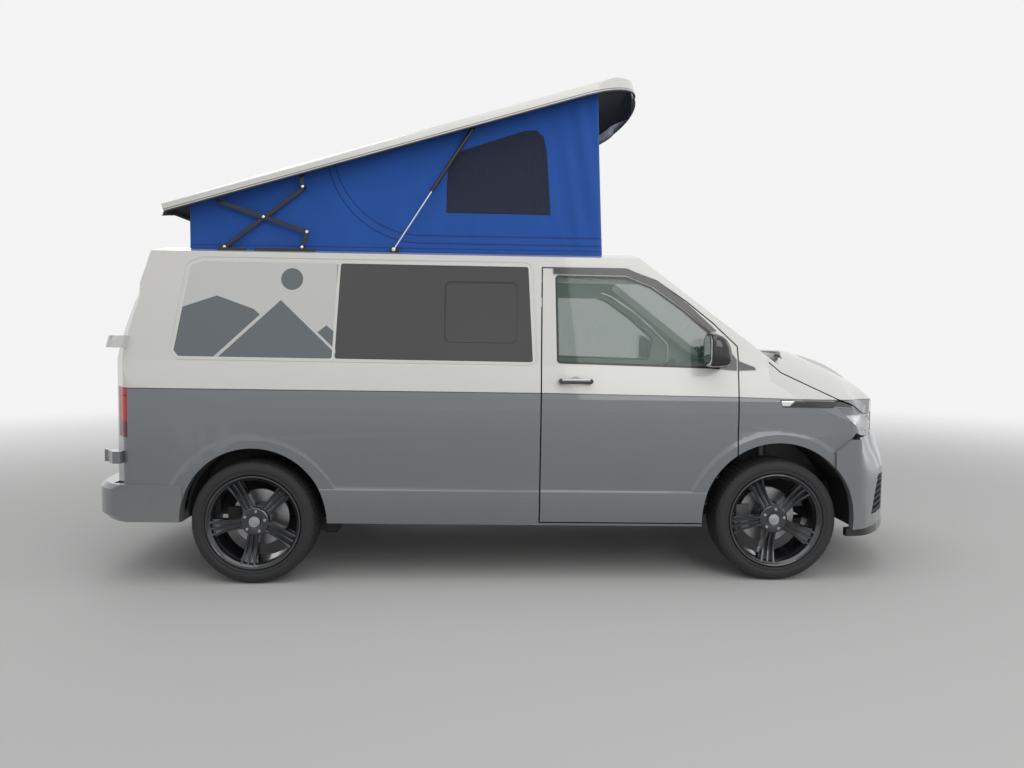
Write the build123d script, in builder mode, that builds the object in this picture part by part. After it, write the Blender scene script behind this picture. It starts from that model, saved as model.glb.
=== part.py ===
from build123d import *
from functools import cache
from math import atan2, cos, degrees, radians, sin, sqrt
import os

# A medium panel van made into a camper, with its roof raised. Millimetres, X forward, Y to the
# left, Z up, the ground at Z 0. The body is drawn level, X 0 half way between the axles, and is
# then set down on its wheels a little nose down, as it stands.

# Driving sizes of the running gear
wheelbase = 3000
body_rake = 0.75
track = 1640
tyre_radius = 352
tyre_width = 255
rim_radius = 271
steer_angle = 35
kingpin_y = 655
front_overhang = 845
rear_overhang = 876

# Driving sizes of the body shell
body_half = 950
sill_z = 332
wall = 50
glass_t = 6
shut_gap = 5
door_gap = 8
roof_z = 1952
gutter_z = 1872
gutter_half = body_half - 112
bumper_low_z = 330
screen_slope = 36.1
front_arch_r = 436
rear_arch_r = 412
arch_lift = 18
flare = 8
tow_eye_r = 11
tow_eye_length = 60

# Places along the body, ahead of or behind the axles
front_axle_x = wheelbase / 2
rear_axle_x = -wheelbase / 2
wheel_y = track / 2
nose_x = front_axle_x + front_overhang
bumper_x = nose_x + 63
splitter_x = nose_x + 87
tail_x = rear_axle_x - rear_overhang
rear_bumper_x = tail_x - 120
b_pillar_x = 128
door_front_x = front_axle_x - 248
door_low_z = 353
screen_top = (front_axle_x - 650, 1849)
cowl_x = front_axle_x + 62
scuttle_z = 1352
side_inner_y = body_half - 145
well_y = body_half - 350
rear_door_half = body_half - 150
rear_door_low = 575
rear_door_high = 1852
rear_slab_x = tail_x + 256

# The raised roof: a shell that swings about a far pole behind the tail
roof_angle = 16.3
roof_pole = (tail_x - 334, 1934)
shell_rear_x = tail_x + 301
shell_front_x = screen_top[0] + 50
shell_half = body_half - 160
shell_rim_z = 1903
shell_height = 92
canvas_rear_x = tail_x + 421
canvas_front_x = screen_top[0] - 350
canvas_half = shell_half - 100
canvas_t = 5
hatch_rear_x = canvas_rear_x + 55
hatch_front_x = canvas_front_x - 60
hatch_half = canvas_half - 70
pieces = []


def ahead(*points):
    """Side-view points measured from the front axle, placed along the body."""
    return [(front_axle_x + x, z) for x, z in points]


def behind(*points):
    """Side-view points measured from the rear axle, placed along the body."""
    return [(rear_axle_x + x, z) for x, z in points]


def keep(name, part, raked=True):
    """Put a finished piece in its place on the standing vehicle and remember it."""
    if raked:
        part = part.moved(Location((0, 0, 0), (0, body_rake, 0)))
    pieces.append((name, part))


def prism(points, reach=1200, grow=0, radius=0):
    """A block of constant side view, right across the body, its outline rounded or grown by a clearance."""
    with BuildPart() as block:
        with BuildSketch(Plane.XZ):
            with BuildLine():
                Polyline(*points, close=True)
            make_face()
            if radius:
                fillet(vertices(), radius)
            if grow:
                offset(amount=grow, kind=Kind.INTERSECTION, mode=Mode.REPLACE)
        extrude(amount=reach, both=True)
    return block.part


def block(x0, x1, y0, y1, z0, z1):
    """A plain box between two corners."""
    with BuildPart() as box:
        with Locations(((x0 + x1) / 2, (y0 + y1) / 2, (z0 + z1) / 2)):
            Box(x1 - x0, y1 - y0, z1 - z0)
    return box.part


def pin(x, z, y0, y1, radius):
    """A round pin across the vehicle, on both sides."""
    with BuildPart() as pins:
        for y in ((y0 + y1) / 2, -(y0 + y1) / 2):
            with Locations(Location((x, y, z), (90, 0, 0))):
                Cylinder(radius, y1 - y0)
    return pins.part


def both_sides(part):
    """A piece and its mirror image across the middle of the vehicle."""
    with BuildPart() as pair:
        add(part)
        mirror(about=Plane.XZ)
    return pair.part


@cache
def bumper_form(inset):
    """The front bumper's outer form, bowed in plan and rounded towards its lower lip."""
    tip = bumper_x - inset
    back = nose_x - 645
    with BuildPart() as form:
        with BuildSketch(Plane.XY.offset(bumper_low_z)):
            with BuildLine():
                Line((back, 0), (back, body_half - 3 - inset))
                ThreePointArc((back, body_half - 3 - inset), (back + 410 - inset / 2, body_half - 45 - inset),
                              (back + 600 - inset, body_half - 260 - inset))
                ThreePointArc((back + 600 - inset, body_half - 260 - inset), (tip - 30, 370), (tip, 0))
                mirror(about=Plane.XZ)
            make_face()
        extrude(amount=520)
        with BuildSketch(Plane.XZ):
            with BuildLine():
                Polyline((back, bumper_low_z), (tip - 60, bumper_low_z), (tip - 14, 410))
                ThreePointArc((tip - 14, 410), (tip, 520), (tip - 6, 640))
                Polyline((tip - 6, 640), (tip - 26, 850), (back, 850), (back, bumper_low_z))
            make_face()
        extrude(amount=1200, both=True, mode=Mode.INTERSECT)
    return form.part


@cache
def hull(inset):
    """The closed body form: side view, cross-section and plan crossed with each other."""
    slope = radians(screen_slope)
    top_x, top_z = screen_top
    cowl_z = top_z - (cowl_x - top_x) * sin(slope) / cos(slope)
    header = (top_x - 100, top_z + 100 * sin(slope) / cos(slope))
    front = front_axle_x
    with BuildPart() as form:
        with BuildSketch(Plane.XZ):
            with BuildLine():
                Polyline((tail_x + 40, sill_z), (tail_x, 600), (tail_x, 1150), (tail_x + 14, 1380),
                         (tail_x + 76, 1600), (tail_x + 156, 1858), (tail_x + 190, 1915))
                ThreePointArc((tail_x + 190, 1915), (-600, roof_z), header)
                Polyline(header, (cowl_x, cowl_z), (cowl_x + 28, scuttle_z))
                ThreePointArc((cowl_x + 28, scuttle_z), (front + 460, 1258), (nose_x - 80, 1050))
                ThreePointArc((nose_x - 80, 1050), (nose_x - 32, 970), (nose_x, 850))
                Polyline((nose_x, 850), (nose_x, sill_z), (tail_x + 40, sill_z))
            make_face()
            if inset:
                offset(amount=-inset, kind=Kind.INTERSECTION, mode=Mode.REPLACE)
        extrude(amount=1200, both=True)
        with BuildSketch(Plane.YZ):
            with BuildLine():
                if inset:
                    Line((0, sill_z), (body_half - 28, sill_z))
                    ThreePointArc((body_half - 28, sill_z), (body_half, 760), (body_half - 4, 1060))
                else:
                    Line((0, sill_z), (body_half - 24, sill_z))
                    ThreePointArc((body_half - 24, sill_z), (body_half - 6, 410), (body_half + 1, step_z - 12))
                    Line((body_half + 1, step_z - 12), (body_half - 6, step_z))
                    ThreePointArc((body_half - 6, step_z), (body_half, 760), (body_half, crease_z))
                    Line((body_half, crease_z), (body_half - 4, 1060))
                ThreePointArc((body_half - 4, 1060), (body_half - 20, 1165), (body_half - 38, 1250))
                Line((body_half - 38, 1250), (gutter_half, gutter_z))
                ThreePointArc((gutter_half, gutter_z), (gutter_half / 2, roof_z - 18), (0, roof_z))
                mirror(about=Plane.YZ)
            make_face()
            fillet(vertices().filter_by(lambda v: abs(v.Y) > 700 and v.Z > 1800), radius=78)
            if inset:
                offset(amount=-inset, kind=Kind.INTERSECTION, mode=Mode.REPLACE)
        extrude(amount=4000, both=True, mode=Mode.INTERSECT)
        with BuildSketch(Plane.XY.offset(900)):
            with BuildLine():
                ThreePointArc((tail_x, 0), (tail_x + 14, 450), (tail_x + 60, rear_door_half))
                Line((tail_x + 60, rear_door_half), (tail_x + 160, body_half - 12))
                Line((tail_x + 160, body_half - 12), (rear_axle_x, body_half + 3))
                Line((rear_axle_x, body_half + 3), (front, body_half + 3))
                ThreePointArc((front, body_half + 3), (front + 520, body_half - 45), (front + 740, body_half - 250))
                ThreePointArc((front + 740, body_half - 250), (nose_x - 45, 380), (nose_x, 0))
                mirror(about=Plane.XZ)
            make_face()
            fillet(vertices().filter_by(lambda v: v.X < tail_x + 176 and abs(v.Y) > 700), radius=70)
            if inset:
                offset(amount=-inset, kind=Kind.INTERSECTION, mode=Mode.REPLACE)
        extrude(amount=1200, both=True, mode=Mode.INTERSECT)
        back_off = 300
        screen_plane = Plane(
            origin=(top_x - back_off * cos(slope), 0, top_z + back_off * sin(slope)),
            x_dir=(0, 1, 0),
            z_dir=(cos(slope), 0, -sin(slope)),
        )
        with BuildSketch(screen_plane):
            with BuildLine():
                ThreePointArc((-1000, -110 - inset), (0, -inset), (1000, -110 - inset))
                Polyline((1000, -110 - inset), (1000, 600), (-1000, 600), (-1000, -110 - inset))
            make_face()
        extrude(amount=back_off + (cowl_x - top_x) / cos(slope), mode=Mode.SUBTRACT)
        shoulder_plane = Plane(origin=(front - 67, 0, 0), x_dir=(0, 1, 0), z_dir=(1, 0, 0))
        with BuildSketch(shoulder_plane):
            with BuildLine():
                ThreePointArc((body_half - 480 - inset, 1460), (body_half - 190 - inset, 1352 - inset / 2),
                              (body_half - 5 - inset, 1150))
                Polyline((body_half - 5 - inset, 1150), (1400, 1150), (1400, 1700),
                         (body_half - 480 - inset, 1700), (body_half - 480 - inset, 1460))
            make_face()
            mirror(about=Plane.YZ)
        extrude(amount=1200, dir=(1, 0, -0.42), mode=Mode.SUBTRACT)
    return form.part


def wheel_centre(x):
    """The height of a wheel arch's centre in the level body's frame."""
    return tyre_radius + x * sin(radians(body_rake)) + arch_lift


def wheel_opening(x, radius):
    """The round space of a wheel arch, right across the body."""
    with BuildPart() as space:
        with BuildSketch(Plane.XZ):
            with Locations((x, wheel_centre(x))):
                Circle(radius)
        extrude(amount=1200, both=True)
    return space.part


def arch_cone(x, radius):
    """A wide cone round each wheel of an axle that bounds the arch's raised edge."""
    with BuildPart() as cones:
        with Locations(Location((x, body_half + 3, wheel_centre(x)), (-90, 0, 0))):
            Cone(radius + 125, radius + 7, 36)
        mirror(about=Plane.XZ)
    return cones.part


step_z = 540
crease_z = 992
arch_cones = arch_cone(front_axle_x, front_arch_r) + arch_cone(rear_axle_x, rear_arch_r)
outer = hull(0) + (hull(-flare) & arch_cones)
inner = hull(wall)
shell = outer - inner

# Outlines seen from the side
cab_door_outline = [(b_pillar_x, door_low_z), (b_pillar_x, 1806)] + ahead(
    (-900, 1806), (-720, 1742), (-540, 1620), (-390, 1500), (-254, 1372), (-248, 1300), (-248, door_low_z))
cab_glass_outline = [(b_pillar_x + 84, 1262), (b_pillar_x + 70, 1768)] + ahead(
    (-895, 1766), (-744, 1708), (-575, 1592), (-420, 1462), (-370, 1418), (-388, 1244))
mid_glass_outline = [(b_pillar_x - 53, 1267), (b_pillar_x - 84, 1812)] + behind((474, 1814), (449, 1272))
rear_glass_outline = behind((434, 1272), (459, 1814), (-300, 1814), (-372, 1790), (-452, 1308), (-425, 1275))
glass_group = behind((-452, 1308), (-425, 1275)) + [(b_pillar_x - 53, 1267), (b_pillar_x - 84, 1812)] + behind(
    (-300, 1814), (-372, 1790))
sliding_outline = [(b_pillar_x - 12, 353), (b_pillar_x - 12, 1838)] + behind((500, 1846), (500, 353))
bonnet_outline = ahead((-63, 1330), (-63, 1314), (26, 1228), (198, 1150), (366, 1076), (600, 1002), (710, 985),
                       (920, 985), (920, 1500), (82, 1500), (82, 1330))
lamp_outline = ahead((313, 1056), (366, 1063), (600, 996), (710, 979), (920, 979), (920, 852), (736, 846),
                     (534, 871), (430, 940))
bumper_outline = ahead((322, 300), (322, 779), (455, 885), (534, 870.4), (736, 845.4), (920, 851.4), (920, 300))
wing_outline = ahead((-240, 200), (-240, 1306), (-69, 1306), (20, 1222), (196, 1143), (364, 1069), (312, 1057.5),
                     (311.6, 1055.2), (429.3, 939.2), (532, 871.3), (454, 885.6), (321.5, 780), (321.5, 200))

front_opening = wheel_opening(front_axle_x, front_arch_r)
well_outer_y = body_half - 147
well_reach = block(rear_axle_x - 600, rear_axle_x + 600, well_y, 1400, 100, 1000)
rear_opening = wheel_opening(rear_axle_x, rear_arch_r) & both_sides(well_reach)
side_band = both_sides(block(tail_x - 200, nose_x + 300, side_inner_y, 1400, 200, 2100))
with BuildPart() as screen_zone:
    with BuildSketch(Plane.YZ.offset(screen_top[0] - 150)):
        with BuildLine():
            Polyline((0, 1200), (side_inner_y - 42, 1200), (side_inner_y - 132, 1870), (side_inner_y - 160, 2100),
                     (0, 2100))
            mirror(about=Plane.YZ)
        make_face()
    extrude(amount=1000)
pillar_band = both_sides(block(screen_top[0] - 150, front_axle_x + 200, 0, 1400, 1280, 2000)) - screen_zone.part
middle_band = block(tail_x - 200, nose_x + 300, -side_inner_y, side_inner_y, 200, 2100)
door_hole = prism(cab_door_outline, grow=door_gap)
bonnet_hole = prism(bonnet_outline, grow=shut_gap + 1)
front_end = prism([(door_front_x + door_gap - 1, 200), (door_front_x + door_gap - 1, 1306)] + ahead(
    (-63, 1306), (-63, 1329), (62, 1329), (62, 1600), (1300, 1600), (1300, 200)))

# The rear doors' hinges: a fixed block with two ears and a pin, and the door's leaf between them
rear_axis = (tail_x + 28, rear_door_half + 48)
rear_hinge_z = (702, 1352)
corner_y = rear_door_half + 66


def upright(z, radius, height):
    """An upright round bar on the hinge line of each rear door."""
    with BuildPart() as bars:
        with Locations((*rear_axis, z)):
            Cylinder(radius, height)
        mirror(about=Plane.XZ)
    return bars.part


def rear_leaf(z):
    """The moving half of a rear hinge, a strap on the door round the pin."""
    x, y = rear_axis
    strap = block(x - 10, x + 20, y - 83, y, z - 9, z + 9) + block(x + 13, x + 58, y - 83, y - 51, z - 9, z + 9)
    strap = both_sides(strap) + upright(z, 12, 18)
    return strap - upright(z, 6.3, 40) - inner


def rear_hinge(z):
    """The fixed half of a rear hinge: a block round the rear corner with two ears and the pin."""
    x, y = rear_axis
    corner = both_sides(block(x + 3, x + 116, corner_y, corner_y + 91, z - 34, z + 34))
    ears = both_sides(block(x - 12, x + 12, y, corner_y + 4, z - 34, z + 34)) + upright(z, 12, 68)
    room = both_sides(block(x - 52, x + 48, y - 148, corner_y - 4, z - 14, z + 14))
    return corner + ears - room + upright(z, 6, 66) - inner


# Rear, side and roof panels
side_glass_space = prism(mid_glass_outline, radius=14) + prism(rear_glass_outline, radius=14)
side_recess = prism(glass_group, radius=30, grow=26) - prism(glass_group, radius=30, grow=17)
side_recess = side_recess & (outer - hull(3)) & side_band
sliding_hole = prism([(b_pillar_x - 7, 352.6), (b_pillar_x - 7, 1843)] + behind((495, 1851), (495, 352.6)))
sides = (shell & (side_band + pillar_band)) - front_end - door_hole - rear_opening - side_glass_space
sides = sides - front_opening - bonnet_hole - side_recess
for z in rear_hinge_z:
    sides = sides + rear_hinge(z)
lamp_space = both_sides(block(tail_x - 44, tail_x + 176, rear_door_half + 35, 1400, 815, 1097))
sides = sides - lamp_space
right_half = block(-4000, 4000, -1400, 0, 0, 2500)
left_half = block(-4000, 4000, 0, 1400, 0, 2500)
rail_slot = block(rear_axle_x - 420, rear_axle_x + 495, body_half - 16, body_half + 20, 1136, 1160)
keep("side_panel_right", sides & right_half)
keep("side_panel_left", (sides & left_half) - sliding_hole - rail_slot)
sliding_slab = shell & prism(sliding_outline) & side_band & left_half
keep("sliding_door", sliding_slab - side_glass_space - side_recess)

hatch = block(hatch_rear_x, hatch_front_x, -hatch_half, hatch_half, 1700, 2100)
roof_middle = shell & middle_band & block(tail_x - 200, screen_top[0] - 90, -1000, 1000, 1700, 2100)
rear_hole = block(tail_x - 100, rear_slab_x, -rear_door_half - shut_gap, rear_door_half + shut_gap,
                  rear_door_low - shut_gap, rear_door_high + shut_gap)
keep("roof_panel", roof_middle - pillar_band - hatch - rear_hole)

# Glass that is bonded in, and the scuttle under the windscreen with its wipers
glass_shell = outer - hull(glass_t)
with BuildPart() as scuttle_zone:
    with BuildSketch(Plane.XY.offset(1150)):
        with BuildLine():
            ThreePointArc((cowl_x - 150, side_inner_y), (cowl_x - 92, 420), (cowl_x - 72, 0))
            Line((cowl_x - 72, 0), (cowl_x - 2, 0))
            Line((cowl_x - 2, 0), (cowl_x - 2, side_inner_y))
            Line((cowl_x - 2, side_inner_y), (cowl_x - 150, side_inner_y))
        make_face()
        mirror(about=Plane.XZ)
    extrude(amount=400)
screen_reach = prism([(screen_top[0] - 88, 1700), (screen_top[0] - 88, 2000), (cowl_x - 3, 2000),
                      (cowl_x - 3, 1200), (front_axle_x - 250, 1200)])
screen_glass = (glass_shell & screen_zone.part) & screen_reach
screen_glass = screen_glass - scuttle_zone.part - bonnet_hole - pillar_band
side_glass = (glass_shell & side_band) & side_glass_space
keep("fixed_glass", screen_glass + side_glass)
scuttle = (outer - hull(12)) & scuttle_zone.part & both_sides(block(1000, 2600, 0, side_inner_y - 70, 1200, 1500))
bonnet_axis = (front_axle_x - 48, 1338)
bonnet_arm_y = side_inner_y - 185
scuttle = scuttle - both_sides(
    block(front_axle_x - 80, front_axle_x + 80, bonnet_arm_y - 8, bonnet_arm_y + 30, 1200, 1500))
slope = radians(screen_slope)
wiper_plane = Plane(origin=(cowl_x - 48, 0, scuttle_z + 30), x_dir=(0, 1, 0),
                    z_dir=(sin(slope), 0, cos(slope)))
pivots = (-440, 90)
with BuildPart() as wipers:
    with BuildSketch(wiper_plane):
        for y in pivots:
            with Locations(Location((y + 250, 4, 0))):
                SlotCenterToCenter(500, 16)
    extrude(amount=-90)
with BuildPart() as wiper_bosses:
    with BuildSketch(wiper_plane):
        with Locations(*[(y, 4) for y in pivots]):
            Circle(15)
    extrude(amount=-90)
scuttle = scuttle + (wipers.part & (hull(-12) - hull(-0.3)) + (wiper_bosses.part & (hull(-12) - hull(12))))
keep("scuttle", scuttle)

# Cab doors on two hinges each, with their glass, mirrors and outside trim
cab_axis_x = door_front_x - 45
cab_axis_y = body_half - 11
cab_axis_z = 760
cab_axis_tilt = 1
cab_hinge_z = (880, 1040)


def cab_axis_at(z):
    """How far out the tilted hinge line of a cab door stands at a height."""
    return cab_axis_y - (z - cab_axis_z) * sin(radians(cab_axis_tilt)) / cos(radians(cab_axis_tilt))


def hinge_line(z, radius, length):
    """A round bar on the hinge line of each cab door."""
    with BuildPart() as line:
        with Locations(Location((cab_axis_x, cab_axis_at(z), z), (cab_axis_tilt, 0, 0))):
            Cylinder(radius, length)
        mirror(about=Plane.XZ)
    return line.part


def hinge_arm(z):
    """A fixed hinge: a swan-necked plate from the front post, and its pin."""
    y = cab_axis_at(z)
    x = cab_axis_x
    plate = block(x - 8, x + 8, y - 62, y, z - 6, z + 6)
    neck = block(x - 8, x + 67, y - 62, y - 46, z - 6, z + 6) + block(
        x + 59, x + 67, body_half - 150, y - 46, z - 6, z + 6)
    return both_sides(plate + neck) + hinge_line(z, 8, 12) + hinge_line(z, 6, 60)


def hinge_pocket(z):
    """What a cab door leaves free round a fixed hinge."""
    y = cab_axis_at(z)
    pocket = both_sides(block(cab_axis_x - 20, door_front_x + 20, y - 120, y, z - 12, z + 12))
    return pocket + hinge_line(z, 9.5, 24) + both_sides(
        block(cab_axis_x, door_front_x + 20, y - 9, y + 9.5, z - 12, z + 12)) + hinge_line(z, 6.3, 64)


door_slab = (shell & (side_band + pillar_band)) & prism(cab_door_outline) - front_opening
door_glass_space = prism(cab_glass_outline, radius=22)
doors = door_slab - door_glass_space
for z in cab_hinge_z:
    doors = doors - hinge_pocket(z)
bowl_x, handle_z = b_pillar_x + 190, 1165
with BuildPart() as bowl:
    with Locations((bowl_x, body_half + 32, handle_z)):
        Sphere(62)
    mirror(about=Plane.XZ)
doors = doors - bowl.part
door_glass = (glass_shell & (side_band + pillar_band)) & door_glass_space
with BuildPart() as mirror_shape:
    with BuildSketch(Plane((door_front_x - 210, -body_half - 92, 1352), x_dir=(0, 1, 0), z_dir=(1, 0, 0))):
        RectangleRounded(206, 190, radius=52)
    with BuildSketch(Plane((door_front_x - 90, -body_half - 82, 1342), x_dir=(0, 1, 0), z_dir=(1, 0, 0))):
        RectangleRounded(170, 138, radius=44)
    loft()
    fillet(edges().group_by(Axis.X)[-1], 14)
with BuildPart() as mirror_arm:
    with BuildSketch(Plane.XZ.offset(body_half + 40)):
        with Locations((door_front_x - 140, 1272)):
            SlotOverall(110, 34)
    extrude(amount=-150)
deflector_line = [(b_pillar_x + 60, 1812), (b_pillar_x + 60, 1776)] + ahead(
    (-895, 1774), (-738, 1714), (-566, 1594), (-404, 1452), (-372, 1462), (-536, 1612), (-712, 1738), (-888, 1812))
triangle = ahead((-372, 1448), (-398, 1244), (-254, 1236), (-254, 1300))
triangle_tip = ahead((-245, 1292), (-245, 1236), (-141, 1241), (-150, 1256))
trim_skin = hull(-4) - hull(-0.3) - outer
with BuildPart() as handle:
    with BuildSketch(Plane.XZ.offset(body_half + 12)):
        with Locations((bowl_x, handle_z)):
            SlotOverall(196, 30)
    extrude(amount=16)
    fillet(edges().group_by(Axis.Y)[0], 6)
    with Locations(*[(bowl_x + x, -body_half + 2, handle_z) for x in (-78, 78)]):
        Box(26, 34, 20)
for side_name, half, sign in (("right", right_half, -1), ("left", left_half, 1)):
    keep("cab_door_" + side_name, doors & half)
    keep("cab_glass_" + side_name, door_glass & half)
    shape = mirror_shape.part + mirror_arm.part
    grip = handle.part
    if sign > 0:
        shape = shape.mirror(Plane.XZ)
        grip = grip.mirror(Plane.XZ)
    keep("mirror_" + side_name, shape - hull(-4) - trim_skin)
    visor = (hull(-12) - hull(-0.3)) & prism(deflector_line) & half & (side_band + pillar_band)
    corner_cover = trim_skin & prism(triangle) & half & (side_band + pillar_band)
    keep("door_trim_" + side_name, visor + corner_cover + (grip - outer))

# Rear doors
rear_slab = shell & block(tail_x - 100, rear_slab_x, -rear_door_half, rear_door_half, rear_door_low, rear_door_high)
pane = prism([(tail_x - 100, 1290), (tail_x - 100, 1760), (tail_x + 226, 1760), (tail_x + 226, 1290)])
rear_window = pane & both_sides(block(tail_x - 100, tail_x + 226, 90, rear_door_half - 110, 1200, 1800))
rear_glass = glass_shell & rear_window
plate_recess = block(tail_x - 60, tail_x + 12, -rear_door_half + 100, -60, 860, 1010)
rear_grip = block(tail_x - 22, tail_x + 8, -90, -40, 1060, 1230) - block(tail_x - 16, tail_x - 4, -84, -46, 1080, 1210)
for side_name, y0, y1 in (("right", -1000, -shut_gap), ("left", shut_gap, 1000)):
    band = block(tail_x - 200, tail_x + 300, y0, y1, 200, 2100)
    door = (rear_slab & band) - rear_window - (plate_recess & (outer - hull(glass_t)))
    for z in rear_hinge_z:
        door = door + (rear_leaf(z) & band)
    if y0 < -500:
        door = door + (rear_grip - inner)
    keep("rear_door_" + side_name, door)
    keep("rear_glass_" + side_name, rear_glass & band)

# Front end
bonnet_space = prism(bonnet_outline)
thin_shell = outer - hull(28)
bonnet = thin_shell & bonnet_space & block(front_axle_x - 100, nose_x + 255, -body_half + 20, body_half - 20, 900, 1500)
bonnet = bonnet - block(front_axle_x - 100, cowl_x + 10, -side_inner_y + 57, side_inner_y - 57, 900, 1500)
neck_line = ahead((-62, 1326), (-36, 1324), (60, 1276), (190, 1240), (190, 1330), (66, 1330), (-36, 1350), (-62, 1350))
bonnet_neck = prism(neck_line) & both_sides(block(1000, 2600, bonnet_arm_y + 10, bonnet_arm_y + 18, 1200, 1400))
neck_root = bonnet_neck & block(front_axle_x + 66, front_axle_x + 200, -1000, 1000, 1200, 1400) & hull(28)
neck_end = bonnet_neck & block(front_axle_x - 100, front_axle_x + 66, -1000, 1000, 1200, 1400)
bonnet = bonnet + neck_root + (neck_end - pin(*bonnet_axis, bonnet_arm_y - 10, bonnet_arm_y + 40, 5.3))
keep("bonnet", bonnet)
wing_band = both_sides(block(front_axle_x - 300, nose_x + 255, body_half - 250, 1400, 200, 1400))
keep("front_wings", shell & prism(wing_outline) & wing_band - front_opening)
lamp_band = both_sides(block(front_axle_x + 280, nose_x + 255, 520, 1400, 800, 1100))
keep("headlamps", (outer - hull(6)) & prism(lamp_outline) & lamp_band)
bowls = both_sides(block(nose_x - 190, nose_x + 20, 600, 660, 880, 950))
for bowl_y, bowl_r in ((590, 44), (700, 50)):
    with BuildPart() as reflector:
        with Locations(Location((nose_x - 40 - (bowl_y - 590), bowl_y, 920), (0, 90, 0))):
            Cylinder(bowl_r, 120)
        mirror(about=Plane.XZ)
    bowls = bowls + reflector.part
lamp_bodies = ((hull(6.3) - hull(90)) & prism(lamp_outline) & lamp_band) - (bowls - hull(wall))
keep("lamp_bodies", lamp_bodies)
upper_mouth = block(nose_x - 145, nose_x + 75, -519.5, 519.5, 852.4, 979)
upper_grille = (hull(28) - hull(wall)) & upper_mouth
upper_bars = (outer - hull(40)) & upper_mouth
for z in (872, 915, 958):
    upper_grille = upper_grille + (upper_bars & block(1000, 3000, -519, 519, z - 9, z + 9))
upper_grille = upper_grille + (upper_bars & both_sides(block(1000, 3000, 500, 519.5, 800, 1000)))

bumper_outer = bumper_form(0) + (bumper_form(-flare) & arch_cones)
bumper = (bumper_outer - bumper_form(wall)) & prism(bumper_outline)
centre_mouth = block(nose_x - 145, nose_x + 255, -500, 500, 392, 600)
corner_mouth = prism(ahead((662, 398), (742, 619), (920, 619), (920, 398))) & both_sides(
    block(1700, 3000, 575, 1000, 300, 700))
mouths = centre_mouth + corner_mouth
bumper = bumper - mouths - front_opening
keep("front_bumper", bumper)
lower_grille = (bumper_form(24) - bumper_form(44)) & mouths
for z in (412, 446, 480, 514, 548, 582, 606):
    lower_grille = lower_grille + ((bumper_form(4) - bumper_form(34)) & mouths & block(
        1000, 3000, -1000, 1000, z - 7, z + 7))
keep("front_grilles", upper_grille + lower_grille - front_opening)
strip = prism(ahead((-6, 1072), (310, 1062), (334, 1046), (316, 1030), (10, 1030)))
black_trims = trim_skin & strip & both_sides(block(1000, 3000, body_half - 200, 1400, 900, 1200))
black_trims = black_trims + (trim_skin & prism(triangle_tip) & both_sides(block(1000, 3000, 600, 1400, 1100, 1400)))
rail_cover = block(rear_axle_x - 416, rear_axle_x + 491, body_half - 15.5, body_half - 8, 1137, 1159)
slide_grip = grip.moved(Location((behind((395, 0))[0][0] - bowl_x, 0, 0))) - outer
keep("black_trims", black_trims + rail_cover + slide_grip)
with BuildPart() as splitter:
    edge = nose_x - 45
    with BuildSketch(Plane.XY.offset(sill_z - 47)):
        with BuildLine():
            Polyline((edge - 100, 0), (edge - 100, body_half - 250), (edge - 200, body_half - 100),
                     (edge - 395, body_half - 45), (edge - 395, body_half - 5), (edge - 280, body_half - 20))
            ThreePointArc((edge - 280, body_half - 20), (edge - 100, body_half - 110), (edge, body_half - 260))
            ThreePointArc((edge, body_half - 260), (splitter_x - 34, 360), (splitter_x, 0))
            mirror(about=Plane.XZ)
        make_face()
    extrude(amount=45)
keep("splitter", splitter.part)

# Rear bumper, lamps and hinge blocks
with BuildPart() as rear_bumper:
    with BuildSketch(Plane.XY.offset(336)):
        with BuildLine():
            Polyline((rear_axle_x - 396, 0), (rear_axle_x - 396, body_half + 2), (tail_x + 86, body_half + 2))
            ThreePointArc((tail_x + 86, body_half + 2), (tail_x - 14, body_half - 100), (tail_x - 64, body_half - 250))
            ThreePointArc((tail_x - 64, body_half - 250), (rear_bumper_x + 14, 350), (rear_bumper_x, 0))
            mirror(about=Plane.XZ)
        make_face()
    extrude(amount=212)
    chamfer(edges().group_by(Axis.Z)[-1].filter_by(lambda e: e.center().X < tail_x + 80), 26)
    chamfer(edges().group_by(Axis.Z)[0].filter_by(lambda e: e.center().X < tail_x + 80), 40)
    add(outer, mode=Mode.SUBTRACT)
rear_core = rear_bumper.part - block(tail_x + 76, rear_axle_x - 300, -body_half + 50, body_half - 50, 300, 600)
keep("rear_bumper", rear_core - rear_opening - hull(-0.3))
lamp_column = both_sides(block(tail_x - 44, tail_x + 175.5, rear_door_half + 35.5, 1400, 815.5, 1096.5))
keep("tail_lamps", (outer - hull(40)) & lamp_column)

# Floor, wheel wells, bulkhead and the posts that carry the doors and bonnet
floor = shell & middle_band & block(tail_x + 46, front_axle_x - 468, -1000, 1000, 300, 382)
rear_sill = shell & middle_band & block(tail_x - 124, tail_x + 126, -1000, 1000, 300, rear_door_low - shut_gap)
with BuildPart() as wells:
    with BuildSketch(Plane.XZ):
        with Locations((rear_axle_x, wheel_centre(rear_axle_x))):
            Circle(rear_arch_r + 15)
    extrude(amount=1200, both=True)
    add(both_sides(block(rear_axle_x - 600, rear_axle_x + 600, well_y - 15, well_outer_y, 370, 900)),
        mode=Mode.INTERSECT)
bulk_half = body_half - 260
shelf_z = 831
firewall = prism(ahead((-500, 382), (-500, 861), (-80, 861), (-80, 1268), (-50, 1268), (-50, shelf_z), (-470, shelf_z),
                       (-470, 382)), reach=bulk_half)
front_post = both_sides(
    block(door_front_x + 14, door_front_x + 78, bulk_half, body_half - 82, 800, 1170)
    + block(door_front_x + 14, front_axle_x - 50, bulk_half, bulk_half + 30, shelf_z, 1170))
bonnet_ear = both_sides(block(front_axle_x - 64, front_axle_x - 34, bonnet_arm_y, bonnet_arm_y + 8, 1258, 1350))
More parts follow.
